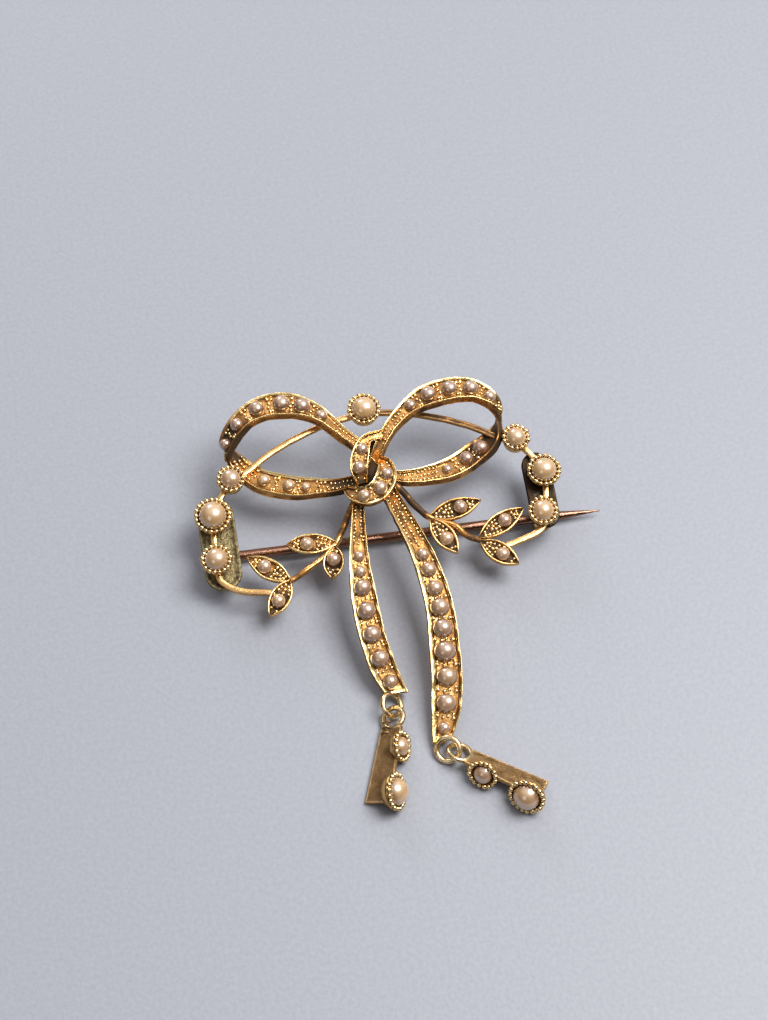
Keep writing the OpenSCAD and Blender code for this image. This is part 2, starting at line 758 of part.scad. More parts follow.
module right_tail_pearl(i) {
  color("ivory")
    lie()
      ribbon_pearl(right_tail, RIGHT_TAIL_PEARLS[i]);
}
module collet_pearls(i) {
  color("ivory")
    lie()
      collet_pearl(i);
}
module leaf_pearls(i) {
  color("ivory")
    lie()
      leaf_pearl(i);
}
module drop_pearls(i) {
  color("ivory")
    at_drop(i < 2 ? left_tail : right_tail, i < 2 ? LEFT_HANG : RIGHT_HANG)
      drop_pearl(i % 2 == 1);
}

bow_frame();
pin_stem();
hinge_rivet();
drop_left();
drop_right();
left_loop_pearls();
right_loop_pearls();
knot_pearls();
for (i = [1:7])
  collet_pearls(i - 1);
for (i = [1:8])
  leaf_pearls(i - 1);
for (i = [1:4])
  drop_pearls(i - 1);
for (i = [1:7])
  left_tail_pearl(i - 1);
for (i = [1:9])
  right_tail_pearl(i - 1);
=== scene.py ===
# %% [markdown]
# # A gold bow brooch set with half pearls
# The real brooch is small jeweller's work: two looped ribbons and two tails cut from gold sheet,
# each with a raised rim on both sides and a row of half pearls in the channel between. Round cups
# with a border of gold grains, called collets, sit on a thin frame at both sides, and two sprays of
# leaves hang between them. This lesson dresses a measured model of it, one piece at a time.
# All sizes are thought of in millimetres and turned into metres when a mesh is made.

# %% Load the measured model
import math

import bmesh
import bpy
import numpy as np
from mathutils import Matrix, Vector, noise


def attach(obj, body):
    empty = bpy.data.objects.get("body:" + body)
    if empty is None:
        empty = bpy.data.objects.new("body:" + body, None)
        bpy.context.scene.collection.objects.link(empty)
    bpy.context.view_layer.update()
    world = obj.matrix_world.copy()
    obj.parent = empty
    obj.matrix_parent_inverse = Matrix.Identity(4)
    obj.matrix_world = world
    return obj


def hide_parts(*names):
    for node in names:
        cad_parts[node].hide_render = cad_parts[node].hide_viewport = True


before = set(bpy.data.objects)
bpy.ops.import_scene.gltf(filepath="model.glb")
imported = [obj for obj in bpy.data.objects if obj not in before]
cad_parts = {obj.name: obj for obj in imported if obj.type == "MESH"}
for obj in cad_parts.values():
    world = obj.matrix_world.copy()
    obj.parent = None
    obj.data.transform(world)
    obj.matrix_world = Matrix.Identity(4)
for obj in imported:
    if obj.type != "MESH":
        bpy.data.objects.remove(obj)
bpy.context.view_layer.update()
MM = 0.001


# %% [markdown]
# ## The camera
# The photograph looks down at the brooch from 60 degrees above the table and about 9 degrees from
# its middle line. A camera's direction can be set by pointing it at an empty, but a matrix built
# from the two angles is exact and has no constraint to clean up, so that way is used. The lens is
# 72 mm on a 36 mm sensor, which is the perspective that the far and near ends of the brooch show.
# The picture is 1020 pixels high, and its middle lies a few of them off the line of sight.

# %% Camera
def shown(name, data):
    """A new object in the scene for a camera, a mesh or a lamp."""
    made = bpy.data.objects.new(name, data)
    bpy.context.scene.collection.objects.link(made)
    return made


elevation, yaw = math.radians(60), math.radians(9.4)
looking = Vector((math.sin(yaw) * math.cos(elevation), math.cos(yaw) * math.cos(elevation),
                  -math.sin(elevation)))
right = looking.cross(Vector((0, 0, 1))).normalized()
up = right.cross(looking)
camera_at, picture_high, off_right, off_up = Vector((-18.04, -85.08, 178.0)), 1020, 9, -40
camera_data = bpy.data.cameras.new("camera")
camera_data.lens, camera_data.sensor_width = 72, 36
camera_data.shift_x, camera_data.shift_y = off_right / picture_high, off_up / picture_high
camera_data.clip_start, camera_data.clip_end = 0.01, 10
camera = shown("camera", camera_data)
camera.matrix_world = Matrix((right, up, -looking)).transposed().to_4x4()
camera.location = camera_at * MM
bpy.context.scene.camera = camera
print("camera looks along", [round(v, 3) for v in looking])

# %% [markdown]
# ## How the brooch lies
# The brooch is thought of flat, in its own face: x to its right, y up the bow, z out of the face.
# On the table it leans, because the hinge and the catch behind it are thicker than the tails' ends.
# The lean could be typed in, but it follows from how low the hinge's foot and the solder at a tail's
# end reach and how far apart they are, so it is worked out here and stays true if a size changes.

# %% Sizes and lean
loop_reach, loop_rise, loop_lift, loop_w = 14, 7.4, 1.6, 2.75
floor_t, rim_share, rim_h = 0.4, 0.11, 0.5
tail_len, tail_lift, tail_w = 27.6, 2, 3
knot_reach, knot_lift, knot_w = 3, 2.3, 2.1
wing_reach, crown_rise, wire_w, wire_t, twig_d = 16.4, 6.3, 0.6, 0.5, 0.65
collet_d, collet_taper, collet_top, collet_fill, pearl_gap, girdle = 3.7, 0.8, 0.95, 0.62, 0.05, 0.3
pin_d, pin_slope, pin_depth, bare_tip, lug_r = 0.95, math.radians(1.2), 2.6, 6, 1.0
hinge_at = (-0.994 * wing_reach, -0.348 * wing_reach)
catch_at = 0.965 * wing_reach - hinge_at[0] - 0.23
pin_len = catch_at + bare_tip
solder_low, drops_below = 0.15, 7.9
tail_low = 0.27 * tail_lift - floor_t / 2 - solder_low
foot_y, foot_z = hinge_at[1], -pin_depth - lug_r
lean = math.atan2(tail_low - foot_z, foot_y + tail_len)
rise = -(foot_y * math.sin(lean) + foot_z * math.cos(lean))
left_edge = -wing_reach - collet_d / 2 + 0.08
right_edge = hinge_at[0] + pin_len * math.cos(pin_slope)
back_edge, front_edge = loop_rise * 0.985 + loop_w * 0.38, -tail_len - drops_below
lie = (Matrix.Translation((-(left_edge + right_edge) / 2, -(back_edge + front_edge) / 2, rise))
       @ Matrix.Rotation(lean, 4, "X"))
straight_out = (lie.to_3x3() @ Vector((0, 0, 1))).normalized()
print("the brooch leans by", round(math.degrees(lean), 2), "degrees and rises by", round(rise, 2), "mm")

# %% [markdown]
# ## The ribbons' routes
# A ribbon is drawn as a short table of rows. Each row says where the ribbon's middle is and how
# wide it is, as shares of the ribbon's own sizes; a loop's row also says how its width is turned,
# and whether its rims stand on the front (1) or the back (-1). A smooth curve runs through the rows.
# A curve object could hold the same rows, but plain tables are easier to compare with the photograph.

# %% Rows of the ribbons
LEFT_LOOP = [
    [.00, -.02, .42, .38, 90, -16, 1], [.06, .22, .62, .42, 90, -16, 1], [.20, .50, .75, .47, 90, -16, 1],
    [.33, .775, .90, .65, 90, -16, 1], [.45, .93, .98, .86, 90, -16, 1], [.57, 1, 1, .99, 90, -16, 1],
    [.70, 1.005, .97, .95, 88, -17, 1], [.83, .92, .89, .86, 84, -18, 1], [.93, .755, .70, .78, 80, -18, 1],
    [.99, .60, .30, .73, 77, -15, .6], [.97, .48, -.15, .75, 98, -18, 0], [.905, .29, -.34, .81, 115, -19, -.7],
    [.81, .10, -.31, .88, 113, -18, -1], [.69, -.01, -.22, .91, 110, -17, -1],
    [.56, -.095, -.11, .84, 107, -15, -1], [.43, -.135, 0, .69, 104, -14, -1],
    [.29, -.17, .13, .54, 102, -12, -1], [.09, -.15, .31, .42, 95, -12, -1]]
RIGHT_LOOP = [
    [-.01, -.02, .66, .36, 120, -10, 1], [.07, .26, 1.02, .40, 120, -12, 1], [.15, .47, .97, .45, 105, -15, 1],
    [.265, .665, .94, .60, 90, -16, 1], [.39, .805, .98, .86, 90, -16, 1], [.52, .87, 1, .98, 90, -16, 1],
    [.65, .885, .99, .96, 88, -16, 1], [.77, .84, .93, .85, 82, -17, 1], [.865, .715, .76, .74, 73, -25, 1],
    [.915, .565, .48, .69, 62, -50, .7], [.92, .42, .15, .70, 105, -80, 0], [.885, .26, -.13, .76, 138, -45, -.7],
    [.81, .125, -.26, .85, 130, -28, -1], [.71, .03, -.28, .91, 120, -20, -1],
    [.60, -.08, -.24, .90, 110, -17, -1], [.49, -.15, -.15, .81, 102, -15, -1],
    [.37, -.18, -.03, .69, 96, -14, -1], [.24, -.195, .10, .54, 90, -12, -1], [.05, -.15, .31, .38, 85, -12, -1]]
LEFT_TAIL = [
    [-.040, -.045, .40, .34], [-.068, -.079, .45, .37], [-.082, -.130, .55, .38], [-.100, -.237, .75, .50],
    [-.113, -.341, .88, .63], [-.118, -.442, .90, .78], [-.117, -.541, .83, .83], [-.108, -.635, .65, .83],
    [-.090, -.726, .38, .82], [-.060, -.812, .05, .67]]
RIGHT_TAIL = [
    [.011, -.043, .40, .43], [.032, -.102, .40, .50], [.069, -.221, .70, .60], [.102, -.337, .90, .70],
    [.123, -.453, 1, .82], [.132, -.568, 1, .90], [.126, -.680, .90, .96], [.117, -.790, .70, .98],
    [.097, -.897, .50, .93], [.068, -1, .27, .60]]
WRAP_ONE = [
    [.37, .97, .70, .45], [-.14, .84, .87, .48], [-.41, .42, .96, .78], [-.56, -.09, .91, .83],
    [-.53, -.52, .65, .48]]
WRAP_TWO = [
    [-1.03, -.70, .43, .24], [-.77, -.98, .78, .71], [-.40, -1.10, .96, .90], [.00, -.92, 1, 1],
    [.27, -.50, .96, .95], [.30, -.07, .70, .62], [.16, .12, .50, .33]]
print("rows of the loops:", len(LEFT_LOOP), "and", len(RIGHT_LOOP))

# %% [markdown]
# ## Places on the wings
# The collets, leaves, frame strips and twigs lie flat in the face of the brooch, so their tables need
# no height; only the twigs say how high they start inside the knot. A collet's row says where it
# stands, how wide it is and how far its pearl fills it. A leaf's row gives its foot, its tip and where
# its pearl sits. The others are routes. Tracing them as drawn curves would hide these numbers.

# %% Rows of the wings
COLLETS = [
    [-.007, 0, .90, 1.16], [-.860, .060, .77, 1], [-.995, -.153, 1, 1], [-1.01, -.423, .84, 1],
    [.867, .066, .77, 1], [.995, -.164, .92, 1], [.942, -.415, .81, 1]]
LEAVES = [
    [-.295, -.415, -.594, -.382, .59], [-.310, -.432, -.358, -.627, .42], [-.597, -.608, -.832, -.422, .60],
    [-.602, -.602, -.749, -.799, .58], [.264, -.342, .593, -.281, .61], [.274, -.348, .401, -.583, .595],
    [.536, -.512, .837, -.368, .58], [.542, -.530, .745, -.704, .59]]
CROWN_ARC = [[.867, .063], [.756, .11], [.646, .183], [.506, .25], [.348, .311], [.207, .348], [.091, .366],
             [0, .381]]
LEFT_BAR = [[-.860, .060], [-.935, -.03], [-.995, -.153], [-1.01, -.30], [-1.01, -.457], [-1.007, -.534],
            [-.945, -.593], [-.861, -.63], [-.741, -.654], [-.70, -.66]]
RIGHT_BAR = [[.867, .066], [.945, -.04], [.995, -.164], [.985, -.30], [.942, -.415], [.935, -.49], [.88, -.53],
             [.812, -.551], [.704, -.579], [.67, -.585]]
LEFT_TWIG = [[-.40, -.50, .39], [-.172, -.208, .17], [-.293, -.402, 0], [-.41, -.502, 0], [-.601, -.605, 0]]
RIGHT_TWIG = [[.27, -.38, .39], [.127, -.146, .26], [.191, -.238, .04], [.276, -.338, 0], [.415, -.41, 0],
              [.469, -.48, 0], [.55, -.525, 0]]
print("collets:", len(COLLETS), " leaves:", len(LEAVES))

# %% [markdown]
# ## Walking along a route
# A ribbon's maker bends it by eye through a few places, and it finds a smooth line between them. The
# curve used here does the same: it passes through every row, and needs only the two rows on either
# side of a spot. A station is a row's number, with a fraction between two rows.

# %% Walk along a route
def at(rows, s):
    """The row at station s, on a smooth curve through the rows."""
    i = int(max(0, min(math.floor(s), len(rows) - 2)))
    a, b, c, d = (rows[max(0, min(len(rows) - 1, k))] for k in (i - 1, i, i + 1, i + 2))
    t = s - i
    return 0.5 * (2 * b + (c - a) * t + (2 * a - 5 * b + 4 * c - d) * t * t
                  + (3 * b - a - 3 * c + d) * t ** 3)


def along(rows, s):
    """The direction of the route at a station."""
    near = .02
    step = at(rows, min(s + near, len(rows) - 1))[:3] - at(rows, max(s - near, 0))[:3]
    return step / np.linalg.norm(step)


def across(rows, s):
    """The direction of the ribbon's width: its own for a loop, level for the others."""
    t, r = along(rows, s), at(rows, s)
    v = r[4:7] if len(r) > 5 else np.array([-t[1], t[0], 0])
    v = v - t * np.dot(v, t)
    return v / np.linalg.norm(v)


def turned(row):
    """A loop's row in mm, its two angles turned into a direction."""
    x, y, z, w, heading, lift, rim = row
    h, l = math.radians(heading), math.radians(lift)
    return [x * loop_reach, y * loop_rise, z * loop_lift, w * loop_w,
            math.cos(l) * math.cos(h), math.cos(l) * math.sin(h), math.sin(l), rim]


def laid(mirrored):
    """From the brooch's own frame to the table, mirrored from right to left first if asked."""
    return lie @ Matrix.Diagonal((-1, 1, 1, 1)) if mirrored else lie


tail_sizes = [tail_len, tail_len, tail_lift, tail_w]
knot_sizes = [knot_reach, knot_reach, knot_lift, knot_w]
ROUTES = {
    "left_loop": np.array([turned(r) for r in LEFT_LOOP]),
    "right_loop": np.array([turned(r) for r in RIGHT_LOOP]),
    "left_tail": np.array(LEFT_TAIL) * tail_sizes, "right_tail": np.array(RIGHT_TAIL) * tail_sizes,
    "wrap_one": np.array(WRAP_ONE) * knot_sizes, "wrap_two": np.array(WRAP_TWO) * knot_sizes}
MIRRORED = {"left_loop"}
print("routes:", {name: len(rows) for name, rows in ROUTES.items()})

# %% [markdown]
# ## Node helpers
# Materials and Geometry Nodes are both trees of nodes. A small helper that makes a node, fills its
# sockets and wires it keeps the recipes below short enough to read from top to bottom.

# %% Node helpers
def socket_named(sockets, name):
    """A node's socket by its name or number; of several with one name, the one in use."""
    if isinstance(name, int):
        return sockets[name]
    return next(s for s in sockets if s.name == name and s.enabled)


def add(tree, kind, settings=None, **inputs):
    """A new node: settings are its own switches, inputs are values or other nodes' outputs."""
    node = tree.nodes.new(kind)
    for key, value in (settings or {}).items():
        setattr(node, key, value)
    for key, value in inputs.items():
        name = int(key[1:]) if key[0] == "i" and key[1:].isdigit() else key.replace("_", " ")
        target = socket_named(node.inputs, name)
        if isinstance(value, bpy.types.NodeSocket):
            tree.links.new(value, target)
        else:
            target.default_value = value
    return node


# %% Nodes that are used often
def math_node(tree, operation, a, b, clamp=False):
    """A sum, product or the like of two numbers."""
    return add(tree, "ShaderNodeMath", {"operation": operation, "use_clamp": clamp}, i0=a, i1=b).outputs[0]


def times(tree, a, b):
    """The product of two numbers."""
    return math_node(tree, "MULTIPLY", a, b)


def ranged(tree, value, low, high, soft=False, **ends):
    """A number taken from the range low to high over to 0 to 1, or to other ends; soft eases both ends."""
    kind = {"interpolation_type": "SMOOTHSTEP" if soft else "LINEAR"}
    return add(tree, "ShaderNodeMapRange", kind, Value=value, From_Min=low, From_Max=high, **ends).outputs[0]


def mixed(tree, share, a, b):
    """A mix of two colours."""
    return add(tree, "ShaderNodeMix", {"data_type": "RGBA"}, Factor=share, A=a, B=b).outputs[2]


def noise_at(tree, place, scale, detail, **more):
    """A smooth random number that depends on the place."""
    return add(tree, "ShaderNodeTexNoise", Vector=place, Scale=scale, Detail=detail, **more).outputs["Fac"]


def stored_number(tree, name):
    """The number of that name that every point of a mesh carries."""
    return add(tree, "ShaderNodeAttribute", {"attribute_name": name}).outputs["Fac"]


def object_place(tree):
    """The place on the mesh itself, which doesn't move when the piece does."""
    return add(tree, "ShaderNodeTexCoord").outputs["Object"]


# %% New groups and materials
def new_group(name, kind, inputs, outputs):
    """An empty node group with named inputs (name, type, default) and outputs (name, type)."""
    group = bpy.data.node_groups.new(name, kind)
    for label, form, value in inputs:
        made = group.interface.new_socket(name=label, in_out="INPUT", socket_type="NodeSocket" + form)
        if value is not None:
            made.default_value = value
    for label, form in outputs:
        group.interface.new_socket(name=label, in_out="OUTPUT", socket_type="NodeSocket" + form)
    return group, group.nodes.new("NodeGroupInput").outputs, group.nodes.new("NodeGroupOutput").inputs


def new_material(name):
    """A material with its tree and its main shader."""
    material = bpy.data.materials.new(name)
    material.use_nodes = True
    return material, material.node_tree, material.node_tree.nodes["Principled BSDF"]


print("node helpers are ready")

# %% [markdown]
# ## Old gold
# Old gold is bright where cloth and fingers rub it and brown to black where polish can't reach, and
# the same brown to black is laid into corners and on faces turned from the light as painted shade.
# One way to paint both is to measure how hollow a surface is, but on pieces this small it is surer
# to store it: each mesh below carries a number for soiling and painted shade, 0 on a rim and 1 in a
# corner. The group for wear, soiling and painted shade turns it into colour and roughness, with
# patches so that it isn't even.

# %% Group: wear, soiling and painted shade
wear, g, out = new_group("wear and soil", "ShaderNodeTree", [
    ("Bright", "Color", (1, .7, .3, 1)), ("Deep", "Color", (.8, .4, .1, 1)),
    ("Soil Color", "Color", (.05, .03, .02, 1)), ("Soil Amount", "Float", .7), ("Patch Size", "Float", 900.0),
    ("Bright Roughness", "Float", .18), ("Soil Roughness", "Float", .55)],
    [("Color", "Color"), ("Roughness", "Float"), ("Metallic", "Float")])
place, stored = object_place(wear), stored_number(wear, "soil")
patches = noise_at(wear, place, g["Patch Size"], 4.0, Roughness=.6)
specks = noise_at(wear, place, 4200.0, 2.0)
uneven = times(wear, math_node(wear, "SUBTRACT", patches, .5), 1.7)
speckled = times(wear, math_node(wear, "SUBTRACT", specks, .5), .5)
# hollow and dark: soiling and painted shade, brown to near black where the stored number is high
hollow = math_node(wear, "ADD", times(wear, stored, g["Soil Amount"]), times(wear, uneven, stored))
tone = ranged(wear, math_node(wear, "ADD", stored, times(wear, uneven, .5)), -.1, .75)
dark = ranged(wear, math_node(wear, "ADD", hollow, speckled), .40, 1.0, soft=True)
gold_tone = mixed(wear, tone, g["Bright"], g["Deep"])
wear.links.new(mixed(wear, dark, gold_tone, g["Soil Color"]), out["Color"])
rubbed = ranged(wear, patches, .3, .7, To_Min=-.05, To_Max=.09)
rough = add(wear, "ShaderNodeMix", Factor=math_node(wear, "MAXIMUM", dark, times(wear, stored, .3)),
            A=g["Bright Roughness"], B=g["Soil Roughness"]).outputs[0]
wear.links.new(math_node(wear, "ADD", rough, rubbed, clamp=True), out["Roughness"])
wear.links.new(math_node(wear, "SUBTRACT", 1.0, times(wear, dark, .75)), out["Metallic"])
print("group", wear.name, "with", len(wear.nodes), "nodes")

# %% [markdown]
# ## Hand-worked metal
# No surface here left a machine. Files and burnishers leave soft dents a few tenths of a
# millimetre wide, and years of wear add fine scratches. To model them the meshes would need far
# smaller faces. Both are heights, so a second group adds two noises instead, one of them stretched
# into hairlines, and gives the sum to a Bump node.

# %% Group: hand-worked metal
worked, g, out = new_group("hand-worked metal", "ShaderNodeTree", [
    ("Dent Size", "Float", 1800.0), ("Dents", "Float", 1.0), ("Scratches", "Float", .35),
    ("Scratch Turn", "Float", 0.0)], [("Height", "Float")])
place = object_place(worked)
dents = noise_at(worked, place, g["Dent Size"], 3.0, Roughness=.55)
turn = add(worked, "ShaderNodeCombineXYZ", Z=g["Scratch Turn"]).outputs[0]
drawn = add(worked, "ShaderNodeMapping", Vector=place, Rotation=turn, Scale=(1.0, 14.0, 5.0)).outputs[0]
hairs = noise_at(worked, drawn, 1300.0, 2.0, Roughness=.7)
height = math_node(worked, "ADD", times(worked, dents, g["Dents"]), times(worked, hairs, g["Scratches"]))
worked.links.new(height, out["Height"])
print("group", worked.name, "with", len(worked.nodes), "nodes")


# %% Gold finishes
# The darkest colour of the gold: partly real soiling, partly painted shade.
SOIL_AND_SHADE_COLOR, WARM_GLINT, bump_depth = (.055, .032, .018, 1), (1.0, .80, .52, 1), .12 * MM


def gold(name, bright, deep, soil=.75, roughness=.2, dents=1.0, scratches=.35, turn=0.0, bump=.25, patch=900.0,
         dent_size=1800.0, gloss=.5):
    """One gold finish: the two groups with this finish's own values, on a metal shader."""
    material, tree, shader = new_material(name)
    skin = add(tree, "ShaderNodeGroup", {"node_tree": wear}, Bright=(*bright, 1), Deep=(*deep, 1),
               Soil_Color=SOIL_AND_SHADE_COLOR, Soil_Amount=soil, Patch_Size=patch, Bright_Roughness=roughness,
               Soil_Roughness=.55)
    form = add(tree, "ShaderNodeGroup", {"node_tree": worked}, Dent_Size=dent_size, Dents=dents,
               Scratches=scratches, Scratch_Turn=turn)
    bumped = add(tree, "ShaderNodeBump", Strength=bump, Distance=bump_depth, Height=form.outputs["Height"])
    for socket, source in (("Base Color", skin.outputs["Color"]), ("Roughness", skin.outputs["Roughness"]),
                           ("Metallic", skin.outputs["Metallic"]), ("Normal", bumped.outputs["Normal"])):
        tree.links.new(source, shader.inputs[socket])
    shader.inputs["Specular Tint"].default_value = WARM_GLINT
    shader.inputs["Specular IOR Level"].default_value = gloss
    return material


rim_gold = gold("ribbon gold", (1.0, .77, .36), (.62, .275, .068), soil=.88, roughness=.17)
cup_gold = gold("collet gold", (.95, .68, .33), (.42, .22, .07), soil=.85, roughness=.22)
grain_gold = gold("grain gold", (1.0, .79, .42), (.50, .25, .075), roughness=.16, dents=.2, bump=.08)
strip_gold = gold("frame gold", (.95, .60, .26), (.44, .22, .075), soil=.85)
ring_gold = gold("ring gold", (.90, .72, .42), (.34, .22, .10), soil=.7)
plate_gold = gold("plate gold", (.70, .60, .32), (.30, .25, .13), soil=.85, roughness=.3, dents=2.0,
                  dent_size=4200.0, bump=1.0, patch=1500.0)
# Painted shade: a near black gold for the knot's core and the right plate, standing in for the shade they lie in.
shade_gold = gold("plate in tarnish", (.07, .055, .04), (.025, .02, .015), soil=.95, roughness=.28, dents=1.5,
                  bump=.4, gloss=.12)
fin_gold = gold("brushed gold", (.76, .50, .24), (.19, .105, .045), soil=.5, roughness=.32, scratches=2.2,
                turn=1.2, bump=.6)
pin_gold = gold("pin gold", (.34, .18, .12), (.16, .075, .05), soil=.5, roughness=.17, scratches=.8, patch=500.0)
print("finishes:", [m.name for m in bpy.data.materials if "gold" in m.name])

# %% [markdown]
# ## Pearl
# A pearl's glow has three parts: a soft body colour that takes in a little light, a wide sheen from
# its many thin layers, and a smooth hard skin that mirrors the window. Real layers could be given
# colours that change with the angle, but these old pearls show hardly any, so a clear coat over a
# tinted body is enough. The body differs from pearl to pearl, and pearls away from the light are
# made greyer as painted shade, so each one carries a number for both, 0 for warm cream and 1 for
# cool grey. All are brown round their feet and edges, partly soiling that has crept in and partly
# painted shade.

# %% Pearl finish
CREAM, GREY, CLOUD, GRIME_AND_SHADE = (.68, .42, .16, 1), (.34, .18, .105, 1), (.50, .36, .30, 1), (.19, .075, .028, 1)
pearl, tree, shader = new_material("half pearl")
clouds = noise_at(tree, object_place(tree), 1100.0, 3.0)
cloudy = times(tree, clouds, .25)
# Body colour: each pearl's own cream or grey, made greyer where painted shade is laid.
body = mixed(tree, cloudy, mixed(tree, stored_number(tree, "tint_and_shade"), CREAM, GREY), CLOUD)
# Brown towards each pearl's foot and edge: soiling and painted shade together.
grime_and_shade = ranged(tree, math_node(tree, "ADD", stored_number(tree, "soil"), cloudy), .10, .52, soft=True)
tree.links.new(mixed(tree, grime_and_shade, body, GRIME_AND_SHADE), shader.inputs["Base Color"])
skin_bump = add(tree, "ShaderNodeBump", Strength=.10, Distance=.1 * MM, Height=clouds)
tree.links.new(skin_bump.outputs["Normal"], shader.inputs["Normal"])
for socket, value in (("Roughness", .38), ("IOR", 2.3), ("Specular Tint", (1.0, .90, .78, 1)),
                      ("Coat Weight", 1.0), ("Coat Roughness", .15), ("Coat IOR", 2.6),
                      ("Subsurface Weight", .08), ("Subsurface Scale", .4 * MM)):
    shader.inputs[socket].default_value = value
print("pearl finish with", len(tree.nodes), "nodes")

# %% [markdown]
# ## From points to meshes
# Most pieces here are a section carried along a route, or a profile turned round an axis. Both are
# made by one helper each that also stores the number for soiling and painted shade of every point. A
# curve object with a bevel could carry a section too, but it can't change the section's shape on the
# way, which these ribbons need where their rims change sides.

# %% Mesh helpers
def store(mesh, name, values, kind="FLOAT"):
    """Gives every point of a mesh a number, or a vector, of its own."""
    field = "vector" if kind == "FLOAT_VECTOR" else "value"
    mesh.attributes.new(name, kind, "POINT").data.foreach_set(field, np.array(values, dtype=np.float32))


def backward(faces):
    """The same faces seen from the other side."""
    return [tuple(reversed(f)) for f in faces]


def mesh_piece(name, points, faces, soil, material, matrix=lie):
    """A mesh object in metres from points in mm, with its numbers for soiling and painted shade."""
    mesh = bpy.data.meshes.new(name)
    mesh.from_pydata([matrix @ Vector(p) * MM for p in points], [], faces)
    store(mesh, "soil", soil)
    mesh.materials.append(material)
    mesh.shade_smooth()
    return shown(name, mesh)


def joined(name, pieces):
    """Several mesh objects as one, with all faces of each closed part turned outward."""
    with bpy.context.temp_override(active_object=pieces[0], selected_editable_objects=pieces, object=pieces[0]):
        bpy.ops.object.join()
    pieces[0].name = name
    bm = bmesh.new()
    bm.from_mesh(pieces[0].data)
    bmesh.ops.recalc_face_normals(bm, faces=bm.faces)
    bm.to_mesh(pieces[0].data)
    bm.free()
    return pieces[0]


def carried(rings, closed=False):
    """Faces between successive rings of points, with both ends capped unless the route is closed."""
    n, m = len(rings[0]), len(rings)
    faces = [(i * n + j, i * n + (j + 1) % n, (i + 1) % m * n + (j + 1) % n, (i + 1) % m * n + j)
             for i in range(m if closed else m - 1) for j in range(n)]
    if not closed:
        faces += [tuple(reversed(range(n))), tuple(range((m - 1) * n, m * n))]
    return [p for ring in rings for p in ring], faces


def around(n):
    """The directions (cosine, sine) of n places round a circle."""
    return [(math.cos(2 * math.pi * j / n), math.sin(2 * math.pi * j / n)) for j in range(n)]


def wobble(p, size, scale, seed):
    """A small smooth unevenness that depends on the place alone."""
    return size * noise.noise(Vector(p) * scale + Vector((seed, seed * .7, -seed)))


print("mesh helpers are ready")

# %% [markdown]
# ## Ribbons
# The section of a ribbon is an H that has lost one half: a thin floor and a rim on either side. The
# rims are rounded over, as a burnisher leaves them, and their inner walls slope down to the floor.
# A bevelled curve would have one section all along, but here the rims pass from the front to the back
# where a loop turns over, so every section is worked out at its own station. Small dents are added,
# because hand-cut rims are never quite straight.

# %% Section of a ribbon
floor_up, bed, widest_rim, rim_of_width = floor_t / 2 + .02, .20, .38, .17


def ribbon_face(h, e, top, low, rim):
    """Half a face of a ribbon, from its middle out: floor, wall, and a rim e wide with a burnished bevel."""
    # The third number is soiling and painted shade: most at the foot of the inner wall, more down the outer wall
    # as an edge's painted shade, none on the rim.
    k, drop = min(.10, e * .35), .11 * rim
    return [(h * .3, low, .55), (h - e - .14, low, .7), (h - e - .04, low + .01 * rim, 1.0),
            (h - e, low + (top - low) * .3, .8), (h - e * .95, top - drop - .04 * rim, .25),
            (h - e * .86, top - drop, .03), (h - k, top - .02 * rim, 0), (h - k * .5, top, 0),
            (h - .02, top - .03, .03), (h, top - .09, .3), (h, top - .17, .6)]


def ribbon_section(w, rim, fill, uneven, rim_width):
    """Points (across, outward, soiling and shade) round a ribbon w wide; fill raises the floor to the rims'
    height.
    """
    h, e = w / 2, min(widest_rim, w * rim_of_width) * rim_width
    front, back = max(rim, 0), max(-rim, 0)
    a, b = floor_up + rim_h * front, floor_up + rim_h * back
    c = floor_up + bed * front + (a - .05 - floor_up - bed * front) * fill
    halves = []
    for width in (e * (1 - uneven), e * (1 + uneven)):
        under = [(q, -o, s) for q, o, s in ribbon_face(h, width, b, floor_up + bed * back, back)]
        halves.append(under + [(h + .01, 0, .8)] + ribbon_face(h, width, a, c, front)[::-1])
    return halves[0] + [(-q, o, s) for q, o, s in reversed(halves[1])]


print("points round a ribbon's section:", len(ribbon_section(loop_w, 1, 0, 0, 1)))

# %% [markdown]
# ## Painted shade on the ribbons
# Where a loop turns away from the light, and where a tail leaves the knot, the gold is painted
# brown as shade. A painted mask could say where, but a few stretches along each route, with
# their middle, reach and amount, do the same and stay true if the ribbon changes.

# %% The ribbons themselves
# Stretches of painted shade on each ribbon: (middle station, reach, amount).
SHADE_STRETCHES = {
    "left_loop": [(8.9, 1.9, 1.0), (16.9, 1.5, .9)],
    "right_loop": [(11.9, 2.1, .85), (9.5, 1.3, .45), (4.0, 1.5, .2), (18.0, .8, .5)],
    "left_tail": [(1.2, 2.6, .42)], "right_tail": [(1.0, 2.2, .32)], "wrap_one": [(4.0, .7, .5)],
    "wrap_two": [(0, .8, .4)]}
close_from, close_over = .26, .10


def tarnish(name, s):
    """Extra painted shade at a station of a ribbon: full in the middle of each stretch, nothing at its ends."""
    return sum(amount * max(0, 1 - ((s - middle) / reach) ** 2) for middle, reach, amount in SHADE_STRETCHES[name])


